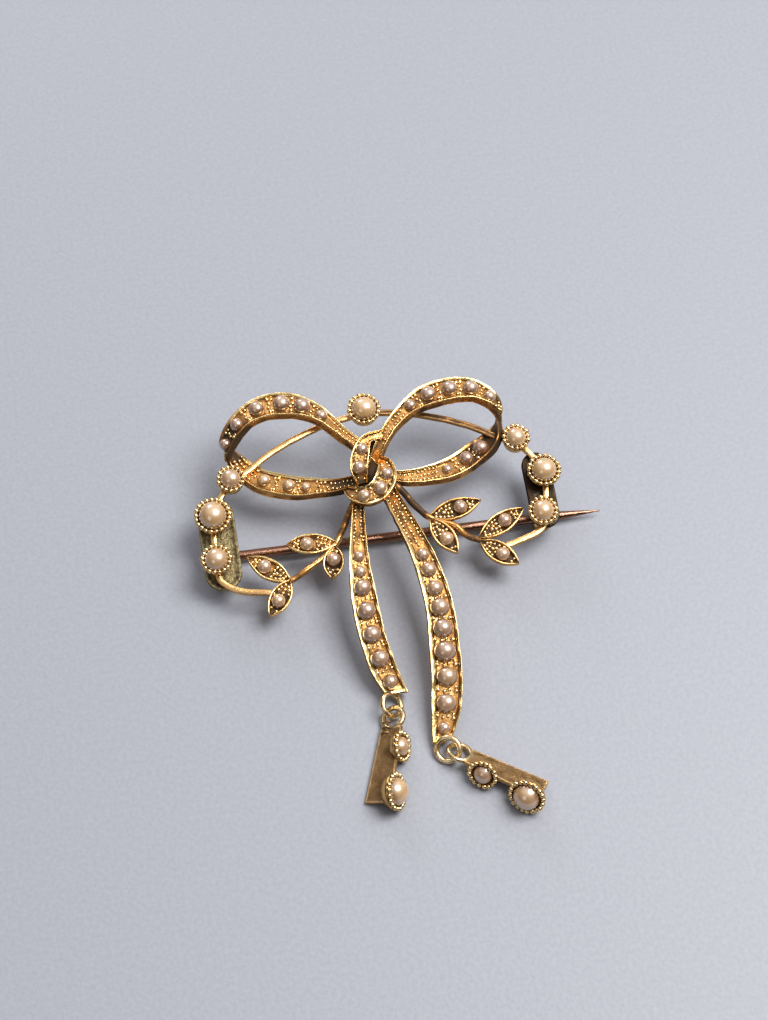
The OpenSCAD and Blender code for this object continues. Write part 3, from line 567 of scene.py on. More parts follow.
def ribbon(name, steps, seed, slant=0.0, uneven=0.0, rim_width=1.0, dents=.05):
    """A whole ribbon along one of the routes; a tail (with a slant) is closed at its end."""
    rows, rings, soil = ROUTES[name], [], []
    last = len(rows) - 1
    for i in range(last * steps + 1):
        s = i / steps
        r, t, a = at(rows, s), along(rows, s), across(rows, s)
        o, push = np.cross(t, a), slant * max(0, s - last + 1)
        fill = max(0, min(1, (s - last + close_from) / close_over)) if slant else 0
        ring = []
        for q, height, hollow in ribbon_section(r[3], r[7] if len(r) > 5 else 1, fill, uneven, rim_width):
            p = r[:3] + a * q + o * height + t * (push * q)
            dent = o * wobble(p, dents, 1.1, seed) + a * wobble(p, dents, 1.4, seed + 5)
            ring.append(p + dent * (1 - .6 * hollow))
            # Soiling and painted shade of the section, plus the painted shade of the stretches.
            soil.append(hollow * (1 - .9 * fill) + tarnish(name, s))
        rings.append(ring)
    points, faces = carried(rings)
    mirrored = name in MIRRORED
    return mesh_piece(name, points, backward(faces) if mirrored else faces, soil, rim_gold, laid(mirrored))


ribbons = joined("Ribbons", [
    ribbon("left_loop", 6, 1, rim_width=.85), ribbon("right_loop", 6, 2, rim_width=.85),
    ribbon("left_tail", 12, 3, slant=.42, uneven=.25), ribbon("right_tail", 12, 4, slant=-.5, uneven=.25),
    ribbon("wrap_one", 10, 5, dents=.015), ribbon("wrap_two", 10, 6, dents=.015)])
print("ribbons:", len(ribbons.data.polygons), "faces")


# %% [markdown]
# ## Turned forms
# The collets and the core of the knot are round, as if they came off a lathe. A Screw modifier could
# turn a profile too, but a short helper can store the numbers for soiling and painted shade at the
# same time: a profile of (radius, height, soiling and shade) points is turned round the z axis, and
# closes where it meets it.

# %% Turning helper
def turned_form(name, profile, material, matrix):
    """A closed solid from a profile that starts and ends on the axis, listed from top to bottom."""
    inner, sides = profile[1:-1], 48
    points, n = [(r * x, r * y, z) for r, z, _ in inner for x, y in around(sides)], len(inner)
    faces = [(i * sides + j, (i + 1) * sides + j,
              (i + 1) * sides + (j + 1) % sides, i * sides + (j + 1) % sides)
             for i in range(n - 1) for j in range(sides)]
    soil = [s for _, _, s in inner for _ in range(sides)]
    top, bottom = len(points), len(points) + 1
    points += [(0, 0, profile[0][1]), (0, 0, profile[-1][1])]
    soil += [profile[0][2], profile[-1][2]]
    faces += [(top, j, (j + 1) % sides) for j in range(sides)]
    faces += [(bottom, (n - 1) * sides + (j + 1) % sides, (n - 1) * sides + j) for j in range(sides)]
    return mesh_piece(name, points, faces, soil, material, matrix)


print("turning helper is ready")

# %% [markdown]
# ## Collets
# A collet is a short conical cup. Its top is a narrow ledge for the grains, then the metal dips to a
# round seat in which the pearl sits. The wall is a little waisted, and darker towards the frame that
# it stands on and in the seat, as painted shade. It could be cut from a cone with Booleans, but one
# turned profile has clean edges and lets the soiling and painted shade be set point by point.

# %% Collets on the frame
def collet_form(name, d, foot, top, seat, pearl_d, matrix, taper=collet_taper):
    """One cup from its foot to its ledge, with a seat for the pearl."""
    R, q, h = d / 2, pearl_d / 2, top - foot
    ledge = max(R - .38, q + .11)
    # Third numbers: soiling and painted shade, darkest in the seat and at the foot, light on the ledge.
    profile = [(0, seat, 1), (q + .03, seat, 1), (q + .03, top - .16, 1), (q + .08, top - .06, .9),
               (ledge, top - .02, .7), (max(R - .26, ledge + .04), top, .65), (R - .15, top - .02, .6),
               (R - .11, top - .10, .5), (R - .09, top - .20, .35), (R - .11, top - .30, .45),
               (R * (.6 + .4 * taper) - .06, top - h * .48, .3), (R * (.2 + .8 * taper), foot + h * .25, .5),
               (R * taper, foot + .08, .85), (R * taper - .08, foot, .7), (0, foot, .6)]
    return turned_form(name, profile, cup_gold, matrix)


collet_foot, seat_depth, crown_pearl, side_pearl = -wire_t / 2 - .15, .5, 1.05, 1.20
CUPS = []
for i, (x, y, share, fill) in enumerate(COLLETS):
    middle = (x * wing_reach, crown_rise if i == 0 else y * wing_reach)
    pearl_d = share * collet_d * collet_fill * fill * (crown_pearl if i == 0 else side_pearl)
    CUPS.append((middle, share * collet_d, pearl_d))
stands = [lie @ Matrix.Translation((x, y, 0)) for (x, y), _, _ in CUPS]
cups = [collet_form(f"cup_{i}", d, collet_foot, collet_top, collet_top - seat_depth, pearl_d, stands[i])
        for i, (_, d, pearl_d) in enumerate(CUPS)]
print("collets:", [round(d, 2) for _, d, _ in CUPS], "mm across")

# %% [markdown]
# ## Grains in a ring
# Each collet wears a ring of fifteen to twenty round grains. They follow a rule, so Geometry Nodes make
# them: a circle gives the places, one small ball is set on each, and a little chance in size and
# place keeps them from looking cast. Copying balls in a Python loop would look the same, but the tree
# shows every step and its inputs can be turned by hand. It ends by making the balls real and gold.

# %% Helpers for the two trees
def place_parts(tree):
    """The x, y and z of every point."""
    return add(tree, "ShaderNodeSeparateXYZ", Vector=add(tree, "GeometryNodeInputPosition").outputs[0]).outputs


def random_number(tree, seed, least, most):
    """A number by chance for every point."""
    return add(tree, "FunctionNodeRandomValue", {"data_type": "FLOAT"}, i2=least, i3=most, Seed=seed).outputs[1]


def with_soil_and_shade(tree, geometry, amount):
    """The same geometry with a number for soiling and painted shade stored on every point."""
    return add(tree, "GeometryNodeStoreNamedAttribute", {"data_type": "FLOAT", "domain": "POINT"},
               Geometry=geometry, Name="soil", Value=amount).outputs[0]


def finish_tree(tree, instances, g, out):
    """The end of a tree: copies made real, shaded smooth, and given the material."""
    real = add(tree, "GeometryNodeRealizeInstances", Geometry=instances)
    smooth = add(tree, "GeometryNodeSetShadeSmooth", Geometry=real.outputs[0])
    done = add(tree, "GeometryNodeSetMaterial", Geometry=smooth.outputs[0], Material=g["Material"])
    tree.links.new(done.outputs[0], out["Geometry"])


print("helpers for both trees are ready")


# %% Tree: grain ring
ring_tree, g, out = new_group("grain ring", "GeometryNodeTree", [
    ("Geometry", "Geometry", None), ("Count", "Int", 20), ("Ring Radius", "Float", .0016),
    ("Grain Size", "Float", .0004), ("Uneven", "Float", .12), ("Seed", "Int", 1), ("Material", "Material", None)],
    [("Geometry", "Geometry")])
circle = add(ring_tree, "GeometryNodeMeshCircle", Vertices=g["Count"], Radius=g["Ring Radius"])
shift = times(ring_tree, g["Grain Size"], g["Uneven"])
down = times(ring_tree, shift, -1.0)
jitter = add(ring_tree, "FunctionNodeRandomValue", {"data_type": "FLOAT_VECTOR"}, Seed=g["Seed"],
             i0=add(ring_tree, "ShaderNodeCombineXYZ", X=down, Y=down, Z=down).outputs[0],
             i1=add(ring_tree, "ShaderNodeCombineXYZ", X=shift, Y=shift, Z=shift).outputs[0]).outputs[0]
moved = add(ring_tree, "GeometryNodeSetPosition", Geometry=circle.outputs[0], Offset=jitter)
ball = add(ring_tree, "GeometryNodeMeshIcoSphere", Radius=.5, Subdivisions=3)
# Painted shade: each grain is darker on its lower side, where it sits on the collet.
low = ranged(ring_tree, place_parts(ring_tree)["Z"], .14, -.20)
chance = random_number(ring_tree, g["Seed"], .86, 1.1)
grain = with_soil_and_shade(ring_tree, ball.outputs["Mesh"], low)
grains = add(ring_tree, "GeometryNodeInstanceOnPoints", Points=moved.outputs[0], Instance=grain,
             Scale=times(ring_tree, chance, g["Grain Size"]))
finish_tree(ring_tree, grains.outputs[0], g, out)
print("tree", ring_tree.name, "with", len(ring_tree.nodes), "nodes")


# %% Run a tree and keep its mesh
def grown(name, tree, values, start=None, matrix=None):
    """The plain mesh that a tree makes from a start mesh, with its named inputs filled."""
    source = shown(name + "_start", start or bpy.data.meshes.new(name + "_start"))
    modifier = source.modifiers.new("nodes", "NODES")
    modifier.node_group = tree
    ids = {item.name: item.identifier for item in tree.interface.items_tree if item.in_out == "INPUT"}
    for label, value in values.items():
        modifier[ids[label]] = value
    source.update_tag()
    bpy.context.view_layer.update()
    mesh = bpy.data.meshes.new_from_object(source.evaluated_get(bpy.context.evaluated_depsgraph_get()))
    bpy.data.objects.remove(source, do_unlink=True)
    if matrix is not None:
        mesh.transform(matrix)
    return shown(name, mesh)


def in_metres(matrix):
    """A matrix that was made for millimetres, for a mesh in metres."""
    made = matrix.copy()
    made.translation *= MM
    return made


grain_d, grain_step, ring_inset, ring_up = .48, .50, .215, .07


def grain_ring(name, d, top, matrix, seed):
    """The grains on one collet."""
    count = round(math.pi * (d - 2 * ring_inset) / grain_step)
    values = {"Count": count, "Ring Radius": (d / 2 - ring_inset) * MM, "Grain Size": grain_d * MM,
              "Uneven": .06, "Seed": seed, "Material": grain_gold}
    return grown(name, ring_tree, values, matrix=in_metres(matrix @ Matrix.Translation((0, 0, top + ring_up))))


rings = [grain_ring(f"grains_{i}", d, collet_top, stands[i], i + 1) for i, (_, d, _) in enumerate(CUPS)]
print("grain rings on the frame:", len(rings))

# %% [markdown]
# ## Domes on points
# The half pearls, and the grains that fill the ribbons between them, are domes of many sizes that
# face many ways. Each could be modelled and placed by itself, but there are hundreds. So the places
# are stored as a cloud of points with a size, a facing and a tint each, and one tree sets a dome on
# every point. A dome is a ball whose lower part is pressed flat.

# %% Tree: domes on points
dome_tree, g, out = new_group("domes on points", "GeometryNodeTree", [
    ("Geometry", "Geometry", None), ("Segments", "Int", 24), ("Rings", "Int", 14), ("Flat", "Float", .3),
    ("Uneven", "Float", .04), ("Soil From", "Float", .30), ("Seed", "Int", 1), ("Material", "Material", None)],
    [("Geometry", "Geometry")])
ball = add(dome_tree, "GeometryNodeMeshUVSphere", Segments=g["Segments"], Rings=g["Rings"], Radius=.5)
parts = place_parts(dome_tree)
pressed = math_node(dome_tree, "MAXIMUM", parts["Z"], times(dome_tree, g["Flat"], -.5))
flat = add(dome_tree, "GeometryNodeSetPosition", Geometry=ball.outputs["Mesh"],
           Position=add(dome_tree, "ShaderNodeCombineXYZ", X=parts["X"], Y=parts["Y"], Z=pressed).outputs[0])
# Painted shade: each dome is darker from its lower part down to its foot, together with soiling there.
dome = with_soil_and_shade(dome_tree, flat.outputs[0], ranged(dome_tree, parts["Z"], g["Soil From"], -.15))
size = add(dome_tree, "GeometryNodeInputNamedAttribute", {"data_type": "FLOAT"},
           Name="size").outputs["Attribute"]
facing = add(dome_tree, "GeometryNodeInputNamedAttribute", {"data_type": "FLOAT_VECTOR"},
             Name="facing").outputs["Attribute"]
stretch = add(dome_tree, "FunctionNodeRandomValue", {"data_type": "FLOAT_VECTOR"}, Seed=g["Seed"],
              i0=(-1.0, -1.0, -1.0), i1=(1.0, 1.0, 1.0)).outputs[0]
uneven = add(dome_tree, "ShaderNodeVectorMath", {"operation": "SCALE"}, i0=stretch,
             Scale=g["Uneven"]).outputs[0]
whole = add(dome_tree, "ShaderNodeVectorMath", {"operation": "ADD"}, i0=uneven, i1=(1.0, 1.0, 1.0)).outputs[0]
scale = add(dome_tree, "ShaderNodeVectorMath", {"operation": "SCALE"}, i0=whole, Scale=size).outputs[0]
spin = random_number(dome_tree, g["Seed"], 0.0, 6.28)
turn = add(dome_tree, "ShaderNodeCombineXYZ", Z=spin).outputs[0]
aim = add(dome_tree, "FunctionNodeAlignRotationToVector", {"axis": "Z"}, Vector=facing)
domes = add(dome_tree, "GeometryNodeInstanceOnPoints", Points=g["Geometry"], Instance=dome,
            Rotation=aim.outputs[0], Scale=scale)
turned_round = add(dome_tree, "GeometryNodeRotateInstances", Instances=domes.outputs[0], Rotation=turn)
finish_tree(dome_tree, turned_round.outputs[0], g, out)
print("tree", dome_tree.name, "with", len(dome_tree.nodes), "nodes")


# %% Points with a size, a facing and a colour with painted shade
def cloud(name, spots):
    """A mesh of loose points; each spot is (place, size, facing, colour and shade), in mm and where it lies."""
    mesh = bpy.data.meshes.new(name)
    mesh.from_pydata([Vector(p) * MM for p, *_ in spots], [], [])
    store(mesh, "size", [s * MM for _, s, _, _ in spots])
    store(mesh, "facing", [c for _, _, v, _ in spots for c in v], "FLOAT_VECTOR")
    store(mesh, "tint_and_shade", [t for _, _, _, t in spots])
    return mesh


def channel_width(rows, s):
    """Width between the rims at a station."""
    return at(rows, s)[3] * (1 - 2 * rim_share)


def on_floor(name, s, q, lift):
    """A spot on a ribbon's floor and its facing: station, distance from the middle line, height."""
    rows, matrix = ROUTES[name], laid(name in MIRRORED)
    r, t, a = at(rows, s), along(rows, s), across(rows, s)
    o = np.cross(t, a) * (-1 if len(r) > 5 and r[7] < 0 else 1)
    place = matrix @ Vector(r[:3] + a * q + o * (floor_up + lift))
    return place, (matrix.to_3x3() @ Vector(o)).normalized()


print("helpers for spots on a ribbon are ready")

# %% [markdown]
# ## Pearls
# The pearls lie in rows that swell and shrink with the ribbon. Chance could place them, but the
# photograph shows each one, so a table gives its station on the ribbon and its share of the channel's
# width, and a second table its colour number: rows nearer the light are creamier, the lower ones
# greyer, as painted light and shade over each pearl's own colour.

# %% Half pearls
PEARLS = {
    "left_loop": [[3, 1], [4, 1], [5.1, .87], [6.4, .88], [7.6, .87], [8.8, .82], [12.25, .79], [13.6, .79],
                  [14.5, .69]],
    "right_loop": [[3.45, .92], [4.5, .89], [5.65, .83], [6.8, .93], [7.95, .88], [12.4, .94], [13.5, .80],
                   [14.9, .68]],
    "left_tail": [[3.9, .86], [4.45, .81], [5.03, 1], [5.85, 1], [6.7, 1], [7.6, 1], [8.45, .92]],
    "right_tail": [[3.2, .85], [3.7, .90], [4.3, .88], [4.9, .98], [5.55, .93], [6.25, .98], [7.03, .93],
                   [7.85, .92], [8.55, .80]],
    "wrap_one": [[1.85, 1.14], [2.95, 1.12]], "wrap_two": [[1.75, 1.02], [3, .98], [4, .94]]}
# Colour number of each pearl, 0 cream to 1 grey: partly its own colour, partly painted shade on the lower rows.
TINTS_AND_SHADE = {
    "left_loop": [.8, .9, .75, .8, .95, .9, .1, .2, .3], "right_loop": [.9, .85, .9, .75, .5, 1, 1, .8],
    "left_tail": [.7, .6, .8, .95, .8, .75, .7], "right_tail": [.7, .6, .65, .7, .85, .8, .55, .75, .8],
    "wrap_one": [.95, .85], "wrap_two": [.6, .75, .85]}


fullness, swell = .96, 1.02


def pearl_size(rows, s, share):
    """Diameter of a ribbon pearl."""
    return fullness * share * (channel_width(rows, s) - 2 * pearl_gap)


def pearl_spot(matrix, x, y, floor, d, tint_and_shade):
    """A pearl that faces straight out of the frame it is placed in; floor is the height under it."""
    facing_out = (matrix.to_3x3() @ Vector((0, 0, 1))).normalized()
    return matrix @ Vector((x, y, floor + pearl_gap + girdle * d / 2)), d * swell, facing_out, tint_and_shade


def domed(name, spots, material, segments, rings, flat, uneven, soil_and_shade_from, seed):
    """A dome on every spot, in one piece."""
    return grown(name, dome_tree, {"Segments": segments, "Rings": rings, "Flat": flat, "Uneven": uneven,
                                   "Soil From": soil_and_shade_from, "Seed": seed, "Material": material},
                 cloud(name + "_spots", spots))


spots = []
for name, beads in PEARLS.items():
    for (s, share), tint_and_shade in zip(beads, TINTS_AND_SHADE[name]):
        d = pearl_size(ROUTES[name], s, share)
        place, facing_out = on_floor(name, s, 0, pearl_gap + girdle * d / 2)
        spots.append((place, d * swell, facing_out, tint_and_shade))
pearl_flat = girdle + .02
ribbon_pearls = domed("Ribbon_pearls", spots, pearl, 32, 20, pearl_flat, .025, .44, 3)
widths = sorted(round(d, 2) for _, d, _, _ in spots)
print("ribbon pearls:", len(spots), "from", widths[0], "to", widths[-1], "mm")

# %% Pearls of the collets and leaves
leaf_t, leaf_w, leaf_pearl_d = .8, 2.1, 1.4
leaf_floor, collet_floor = leaf_t / 2 - .45, collet_top - .55
spots = [pearl_spot(lie, x, y, collet_floor, pearl_d, tint_and_shade)
         for ((x, y), _, pearl_d), tint_and_shade in zip(CUPS, (.0, .55, .2, .35, .2, .05, .15))]
for (fx, fy, tx, ty, share), tint_and_shade in zip(LEAVES, (.6, .75, .7, .6, .9, .45, .85, .6)):
    x, y = (fx + (tx - fx) * share) * wing_reach, (fy + (ty - fy) * share) * wing_reach
    spots.append(pearl_spot(lie, x, y, leaf_floor, leaf_pearl_d, tint_and_shade))
print("pearls in collets and leaves:", len(spots))

# %% [markdown]
# ## The two drops
# A small drop hangs from each tail, and on the table both have rolled on to their sides. A drop is a
# thin upright plate with two collets on its front edge and a ring, the bail, at its top. A physics
# run could let it fall into place, but then its place would be luck. So its frame, with x down the
# drop and z out of the collets, is worked out from where its bail links and what touches the table.

# %% Where the drops lie
ring_r, ring_wire, bail_r, bail_wire = 1.1, .54, 1.05, .5
drop_step, drop_d, drop_small, drop_h = 4.5, 3.6, .8, .95
fin_front, fin_deep, fin_slim, fin_end, fin_t = .5, 2.1, 1.6, 1.05, .4
drop_roll = math.radians(62)
drop_foot = drop_d * .75
drop_rest = max(drop_foot / 2 * math.sin(drop_roll),
                drop_d / 2 * math.sin(drop_roll) - drop_h * math.cos(drop_roll),
                fin_deep * math.cos(drop_roll) + fin_t / 2 * math.sin(drop_roll))
bail_at, above_table = (-1.9 - bail_r, -.6), .03
DROP_CUPS = [(0, drop_d * drop_small * 1.04, drop_h * .85, 1.04, .45), (drop_step, drop_d, drop_h, 1.17, .1)]
HANGS = {"left": ("left_tail", (-.53, -1.07), (.60, -.20, .77), (-.10, -1.14), -107.7, -1),
         "right": ("right_tail", (.27, -1.05), (-.30, -.40, .87), (.92, -.45), -36.5, 1)}


def ring_place(tail, offset, normal):
    """Middle of a tail's ring, its facing, and the tail's end."""
    end, n = lie @ Vector(ROUTES[tail][-1][:3]), Vector(normal).normalized()
    return Vector((end.x + offset[0] * ring_r, end.y + offset[1] * ring_r,
                   ring_r * math.sqrt(1 - n.z ** 2) + ring_wire / 2 + above_table)), n, end


def drop_matrix(tail, offset, normal, link, heading, roll):
    """The drop's own frame on the table."""
    middle, _, _ = ring_place(tail, offset, normal)
    h = math.radians(heading)
    x, y = Vector((math.cos(h), math.sin(h), 0)), Vector((-math.sin(h), math.cos(h), 0))
    z = Vector((0, 0, math.cos(drop_roll))) - roll * math.sin(drop_roll) * y
    linked = Vector((middle.x + link[0] * ring_r, middle.y + link[1] * ring_r, 0))
    foot = linked - x * bail_at[0] - z * bail_at[1]
    return (Matrix.Translation((foot.x, foot.y, drop_rest)) @ Matrix.Rotation(h, 4, "Z")
            @ Matrix.Rotation(roll * drop_roll, 4, "X"))


DROPS = {side: drop_matrix(*hang) for side, hang in HANGS.items()}
print("the drops' middles in mm:", {side: [round(v, 2) for v in m.translation] for side, m in DROPS.items()})

# %% Cups and pearls of the drops
pearl_sunk, greyer = .12, {"left": 0, "right": .25}
for side, matrix in DROPS.items():
    for x, d, h, fill, tint_and_shade in DROP_CUPS:
        seat, pearl_d, stand = h - seat_depth, d * collet_fill * fill, matrix @ Matrix.Translation((x, 0, 0))
        spots.append(pearl_spot(matrix, x, 0, seat - pearl_sunk, pearl_d, tint_and_shade + greyer[side]))
        cups.append(collet_form("cup_drop", d, 0, h, seat, pearl_d, stand, taper=.75))
        rings.append(grain_ring("grains_drop", d, h, stand, len(rings) + 1))
set_pearls = domed("Set_pearls", spots, pearl, 36, 22, pearl_flat, .03, .33, 8)
collets = joined("Collets", cups)
grain_rings = joined("Grain_rings", rings)
print("set pearls:", len(spots), " grain rings:", len(grain_rings.data.polygons), "faces")

# %% [markdown]
# ## Plates of the drops
# The plate of a drop is flat sheet with a thin lip where its edge was filed bright. A Bevel modifier
# would round a flat shape too, but its soiling and painted shade would have to be worked out
# afterwards. A convex outline can be shrunk a little at each step, so a slab is made as a stack of
# such outlines, soiling, shade and all.

# %% Slab helper
def slab(name, outline, steps, material, matrix):
    """A solid from a convex outline: steps are (inset, height, soiling and shade) from bottom to top."""
    n, edge = len(outline), np.array(outline, dtype=float)
    before, after = np.roll(edge, 1, axis=0), np.roll(edge, -1, axis=0)
    first, second = edge - before, after - edge
    first /= np.linalg.norm(first, axis=1)[:, None]
    second /= np.linalg.norm(second, axis=1)[:, None]
    inward = np.stack([-(first + second)[:, 1], (first + second)[:, 0]], axis=1)
    inward /= (1 + np.sum(first * second, axis=1))[:, None]
    rings, soil = [], []
    for inset, height, hollow in steps:
        rings.append([(p[0], p[1], height) for p in edge + inward * inset])
        soil += [hollow] * n
    points, faces = carried(rings)
    return mesh_piece(name, points, faces, soil, material, matrix)


def bevelled(t, c, lip, low):
    """Steps of a slab t thick with rounded edges and a raised lip all round its faces."""
    half = [(c + .10 + lip, t / 2 - lip * .4, low), (c + .04, t / 2, .05), (c, t / 2, 0),
            (c * .3, t / 2 - c * .3, 0), (0, t / 2 - c, .1)]
    return [(i, -h, s) for i, h, s in half] + [(i, h, s) for i, h, s in reversed(half)]


fin_top, fin_low, upright = -2.05, drop_step + fin_end, Matrix.Rotation(math.pi / 2, 4, "X")
fin_side = [(fin_top, -fin_slim), (fin_low, -fin_deep), (fin_low, fin_front), (fin_top, fin_front)]
fins = [slab(f"fin_{side}", fin_side, bevelled(fin_t, .05, .06, .62), fin_gold, matrix @ upright)
        for side, matrix in DROPS.items()]
drop_plates = joined("Drop_plates", fins)
print("drop plates:", len(drop_plates.data.polygons), "faces")

# %% [markdown]
# ## Rings
# The tails end in thick soldered rings, and a bail on each drop passes through one. The solder that
# holds a ring to its tail has run into a smooth blob, and one drop keeps a few turns of a finer wire
# beside its bail. A torus would do for the rings alone, but a round section carried along any path
# makes all three.

# %% Rings, solder and the fine coil
def wire(name, path, thickness, material, matrix, sides, hollow=None, closed=False):
    """A round wire along a path of points; thickness may be a list with one value for each point."""
    path = [Vector(p) for p in path]
    n, rings, soil, guide = len(path), [], [], None
    for i, p in enumerate(path):
        step = path[(i + 1) % n] - path[i - 1] if closed else path[min(i + 1, n - 1)] - path[max(i - 1, 0)]
        step.normalize()
        guide = (step.orthogonal() if guide is None else guide - step * guide.dot(step)).normalized()
        side, r = step.cross(guide), (thickness[i] if isinstance(thickness, list) else thickness) / 2
        rings.append([p + (guide * x + side * y) * r for x, y in around(sides)])
        soil += [hollow[i] if hollow else .12] * sides
    points, faces = carried(rings, closed)
    return mesh_piece(name, points, faces, soil, material, matrix)


def ring(name, r, thickness, matrix):
    """A closed ring of round wire."""
    return wire(name, [(r * x, r * y, 0) for x, y in around(64)], thickness, ring_gold, matrix, 18, closed=True)


solder_d = [.2, .5, .68, .74, .74, .72, .72, .76, .8, .74, .5, .2]
coil_wire, coil_points, coil_from, coil_pitch, coil_turn, coil_mid = .17, 34, -2.75, .055, .62, -1.15
loops = []
for side, hang in HANGS.items():
    middle, n, end = ring_place(*hang[:3])
    toward = n.to_track_quat("Z", "Y").to_matrix().to_4x4()
    loops.append(ring(f"ring_{side}", ring_r, ring_wire, Matrix.Translation(middle) @ toward))
    flat = (Vector((end.x, end.y)) - Vector((middle.x, middle.y))).normalized()
    near = middle + ring_r * Vector((flat.x, flat.y, -(n.x * flat.x + n.y * flat.y) / n.z)).normalized()
    run = [near.lerp(end, k / 8) for k in range(-2, 10)]
    loops.append(wire(f"solder_{side}", run, solder_d, ring_gold, Matrix.Identity(4), 20, [.3] * len(run)))
    bail = DROPS[side] @ Matrix.Translation((bail_at[0], 0, bail_at[1])) @ upright
    loops.append(ring(f"bail_{side}", bail_r, bail_wire, bail))
coil = [(coil_from + coil_pitch * k, .34 * math.cos(k * coil_turn), coil_mid + .40 * math.sin(k * coil_turn))
        for k in range(coil_points)]
loops.append(wire("fine_coil", coil, coil_wire, ring_gold, DROPS["left"], 8, [.75] * coil_points))
hanging_rings = joined("Hanging_rings", loops)
print("rings:", len(hanging_rings.data.polygons), "faces")

# %% [markdown]
# ## Leaves
# A leaf is a pointed cup: two arcs meet at both ends, a rim follows them, and the floor between is
# sunk and stippled. It could be sculpted, but the ribbon's way of carrying a section serves here too,
# on a straight route with a width that grows from nothing and shrinks to nothing again.

# %% Section and plan of a leaf
leaf_sunk, narrowest = .34, .10


def leaf_section(w, share):
    """Points (across, height, soiling and shade) round a leaf w wide; share is the place from foot to tip."""
    h = w / 2
    r, full = min(.24, h * .45), min(1, w / .9)
    a, f = leaf_t / 2 + .03 - .10 * abs(share - .5), leaf_t / 2 + .02 - leaf_sunk * full
    b = -leaf_t / 2 * (.55 + .45 * full)
    half = [(h * .45, b, .5), (h * .8, b + .06, .4), (h - .04, b + .25, .3), (h, a - .14, .12),
            (h - .02, a - .04, 0),
            (h - r * .35, a + .02, 0), (h - r * .8, a - .01, .05), (h - r * 1.05, a - .08, .45),
            (h - r * 1.35, f + (a - f) * .25, .85), (min(h * .72, h - r * 1.6), f, 1),
            (max(0, h - r * 1.6) * .5, f - .01, .9)]
    return half + [(-q, o, s) for q, o, s in reversed(half)]


def leaf_plan(leaf):
    """A leaf's foot, direction, length, sideways direction, and a rule for half its width at any share."""
    foot, tip = Vector((*leaf[:2], 0)) * wing_reach, Vector((*leaf[2:4], 0)) * wing_reach
    way, length = (tip - foot).normalized(), (tip - foot).length
    b = leaf_w / 2
    R = ((length / 2) ** 2 + b * b) / (2 * b)

    def half_width(share):
        d = (share - .5) * length
        return math.sqrt(R * R - d * d) - (R - b)

    return foot, way, length, Vector((-way.y, way.x, 0)), half_width


print("leaf lengths in mm:", [round(leaf_plan(leaf)[2], 1) for leaf in LEAVES])

# %% Leaves
# How much darker each leaf is made, added to its numbers for soiling and painted shade.
blades, leaf_cuts, LEAF_DARKENING = [], 32, (0, .25, .05, .2, .5, .3, .35, .4)
for i, leaf in enumerate(LEAVES):
    foot, way, length, side, half_width = leaf_plan(leaf)
    rows, soil = [], []
    for k in range(leaf_cuts + 1):
        u = .5 - .5 * math.cos(math.pi * k / leaf_cuts)
        section, mid = leaf_section(max(narrowest, 2 * half_width(u)), u), foot + way * u * length
        rows.append([foot + way * (u * length) + side * (q + wobble(mid, .03, 1.2, i))
                     + Vector((0, 0, z + wobble(mid + side * q, .04, .9, i + 3))) for q, z, _ in section])
        soil += [s + LEAF_DARKENING[i] for _, _, s in section]
    points, faces = carried(rows)
    blades.append(mesh_piece(f"leaf_{i}", points, faces, soil, rim_gold))
leaves = joined("Leaves", blades)
print("leaves:", len(leaves.data.polygons), "faces")

# %% [markdown]
# ## Twigs and frame
# The twigs are round and a little knotty, and painted darker along their first part, by the knot,
# as shade. The frame is flat strip, bent on edge: two arcs from the top collet to the small side
# collets, and two bars down the sides and round to the sprays. Bevelled curves would serve for both,
# but here their thickness, dents, soiling and painted shade change along the way.

# %% Twigs and frame strips
def wing_route(rows):
    """A route of the wings in mm; a twig starts in the knot and follows the knot's own sizes there."""
    reach = [knot_reach if len(rows[0]) > 2 else wing_reach] + [wing_reach] * (len(rows) - 1)
    return np.array([[r[0] * k, r[1] * k, r[2] * knot_lift if len(r) > 2 else 0] for r, k in zip(rows, reach)])


def cuts(route, steps):
    """The stations of a route, so many to each row."""
    return [k / steps for k in range((len(route) - 1) * steps + 1)]


parts, shaded_part = [], .45
for i, rows in enumerate((LEFT_TWIG, RIGHT_TWIG)):
    route = wing_route(rows)
    path = [at(route, s) for s in cuts(route, 8)]
    path = [p + np.array([wobble(p, .05, 1.3, i), wobble(p, .05, 1.3, i + 4), 0]) for p in path]
    n = len(path)
    thick = [twig_d * (1.12 - .2 * k / n) + wobble(p, .09, 1.6, i + 9) for k, p in enumerate(path)]
    # Soiling along each twig, plus painted shade on the part that runs by the knot.
    dirt_and_shade = [.45 + .25 * i + .3 * (k < n * shaded_part) + wobble(p, .5, .5, i) for k, p in enumerate(path)]
    parts.append(wire(f"twig_{i}", path, thick, rim_gold, lie, 12, dirt_and_shade))


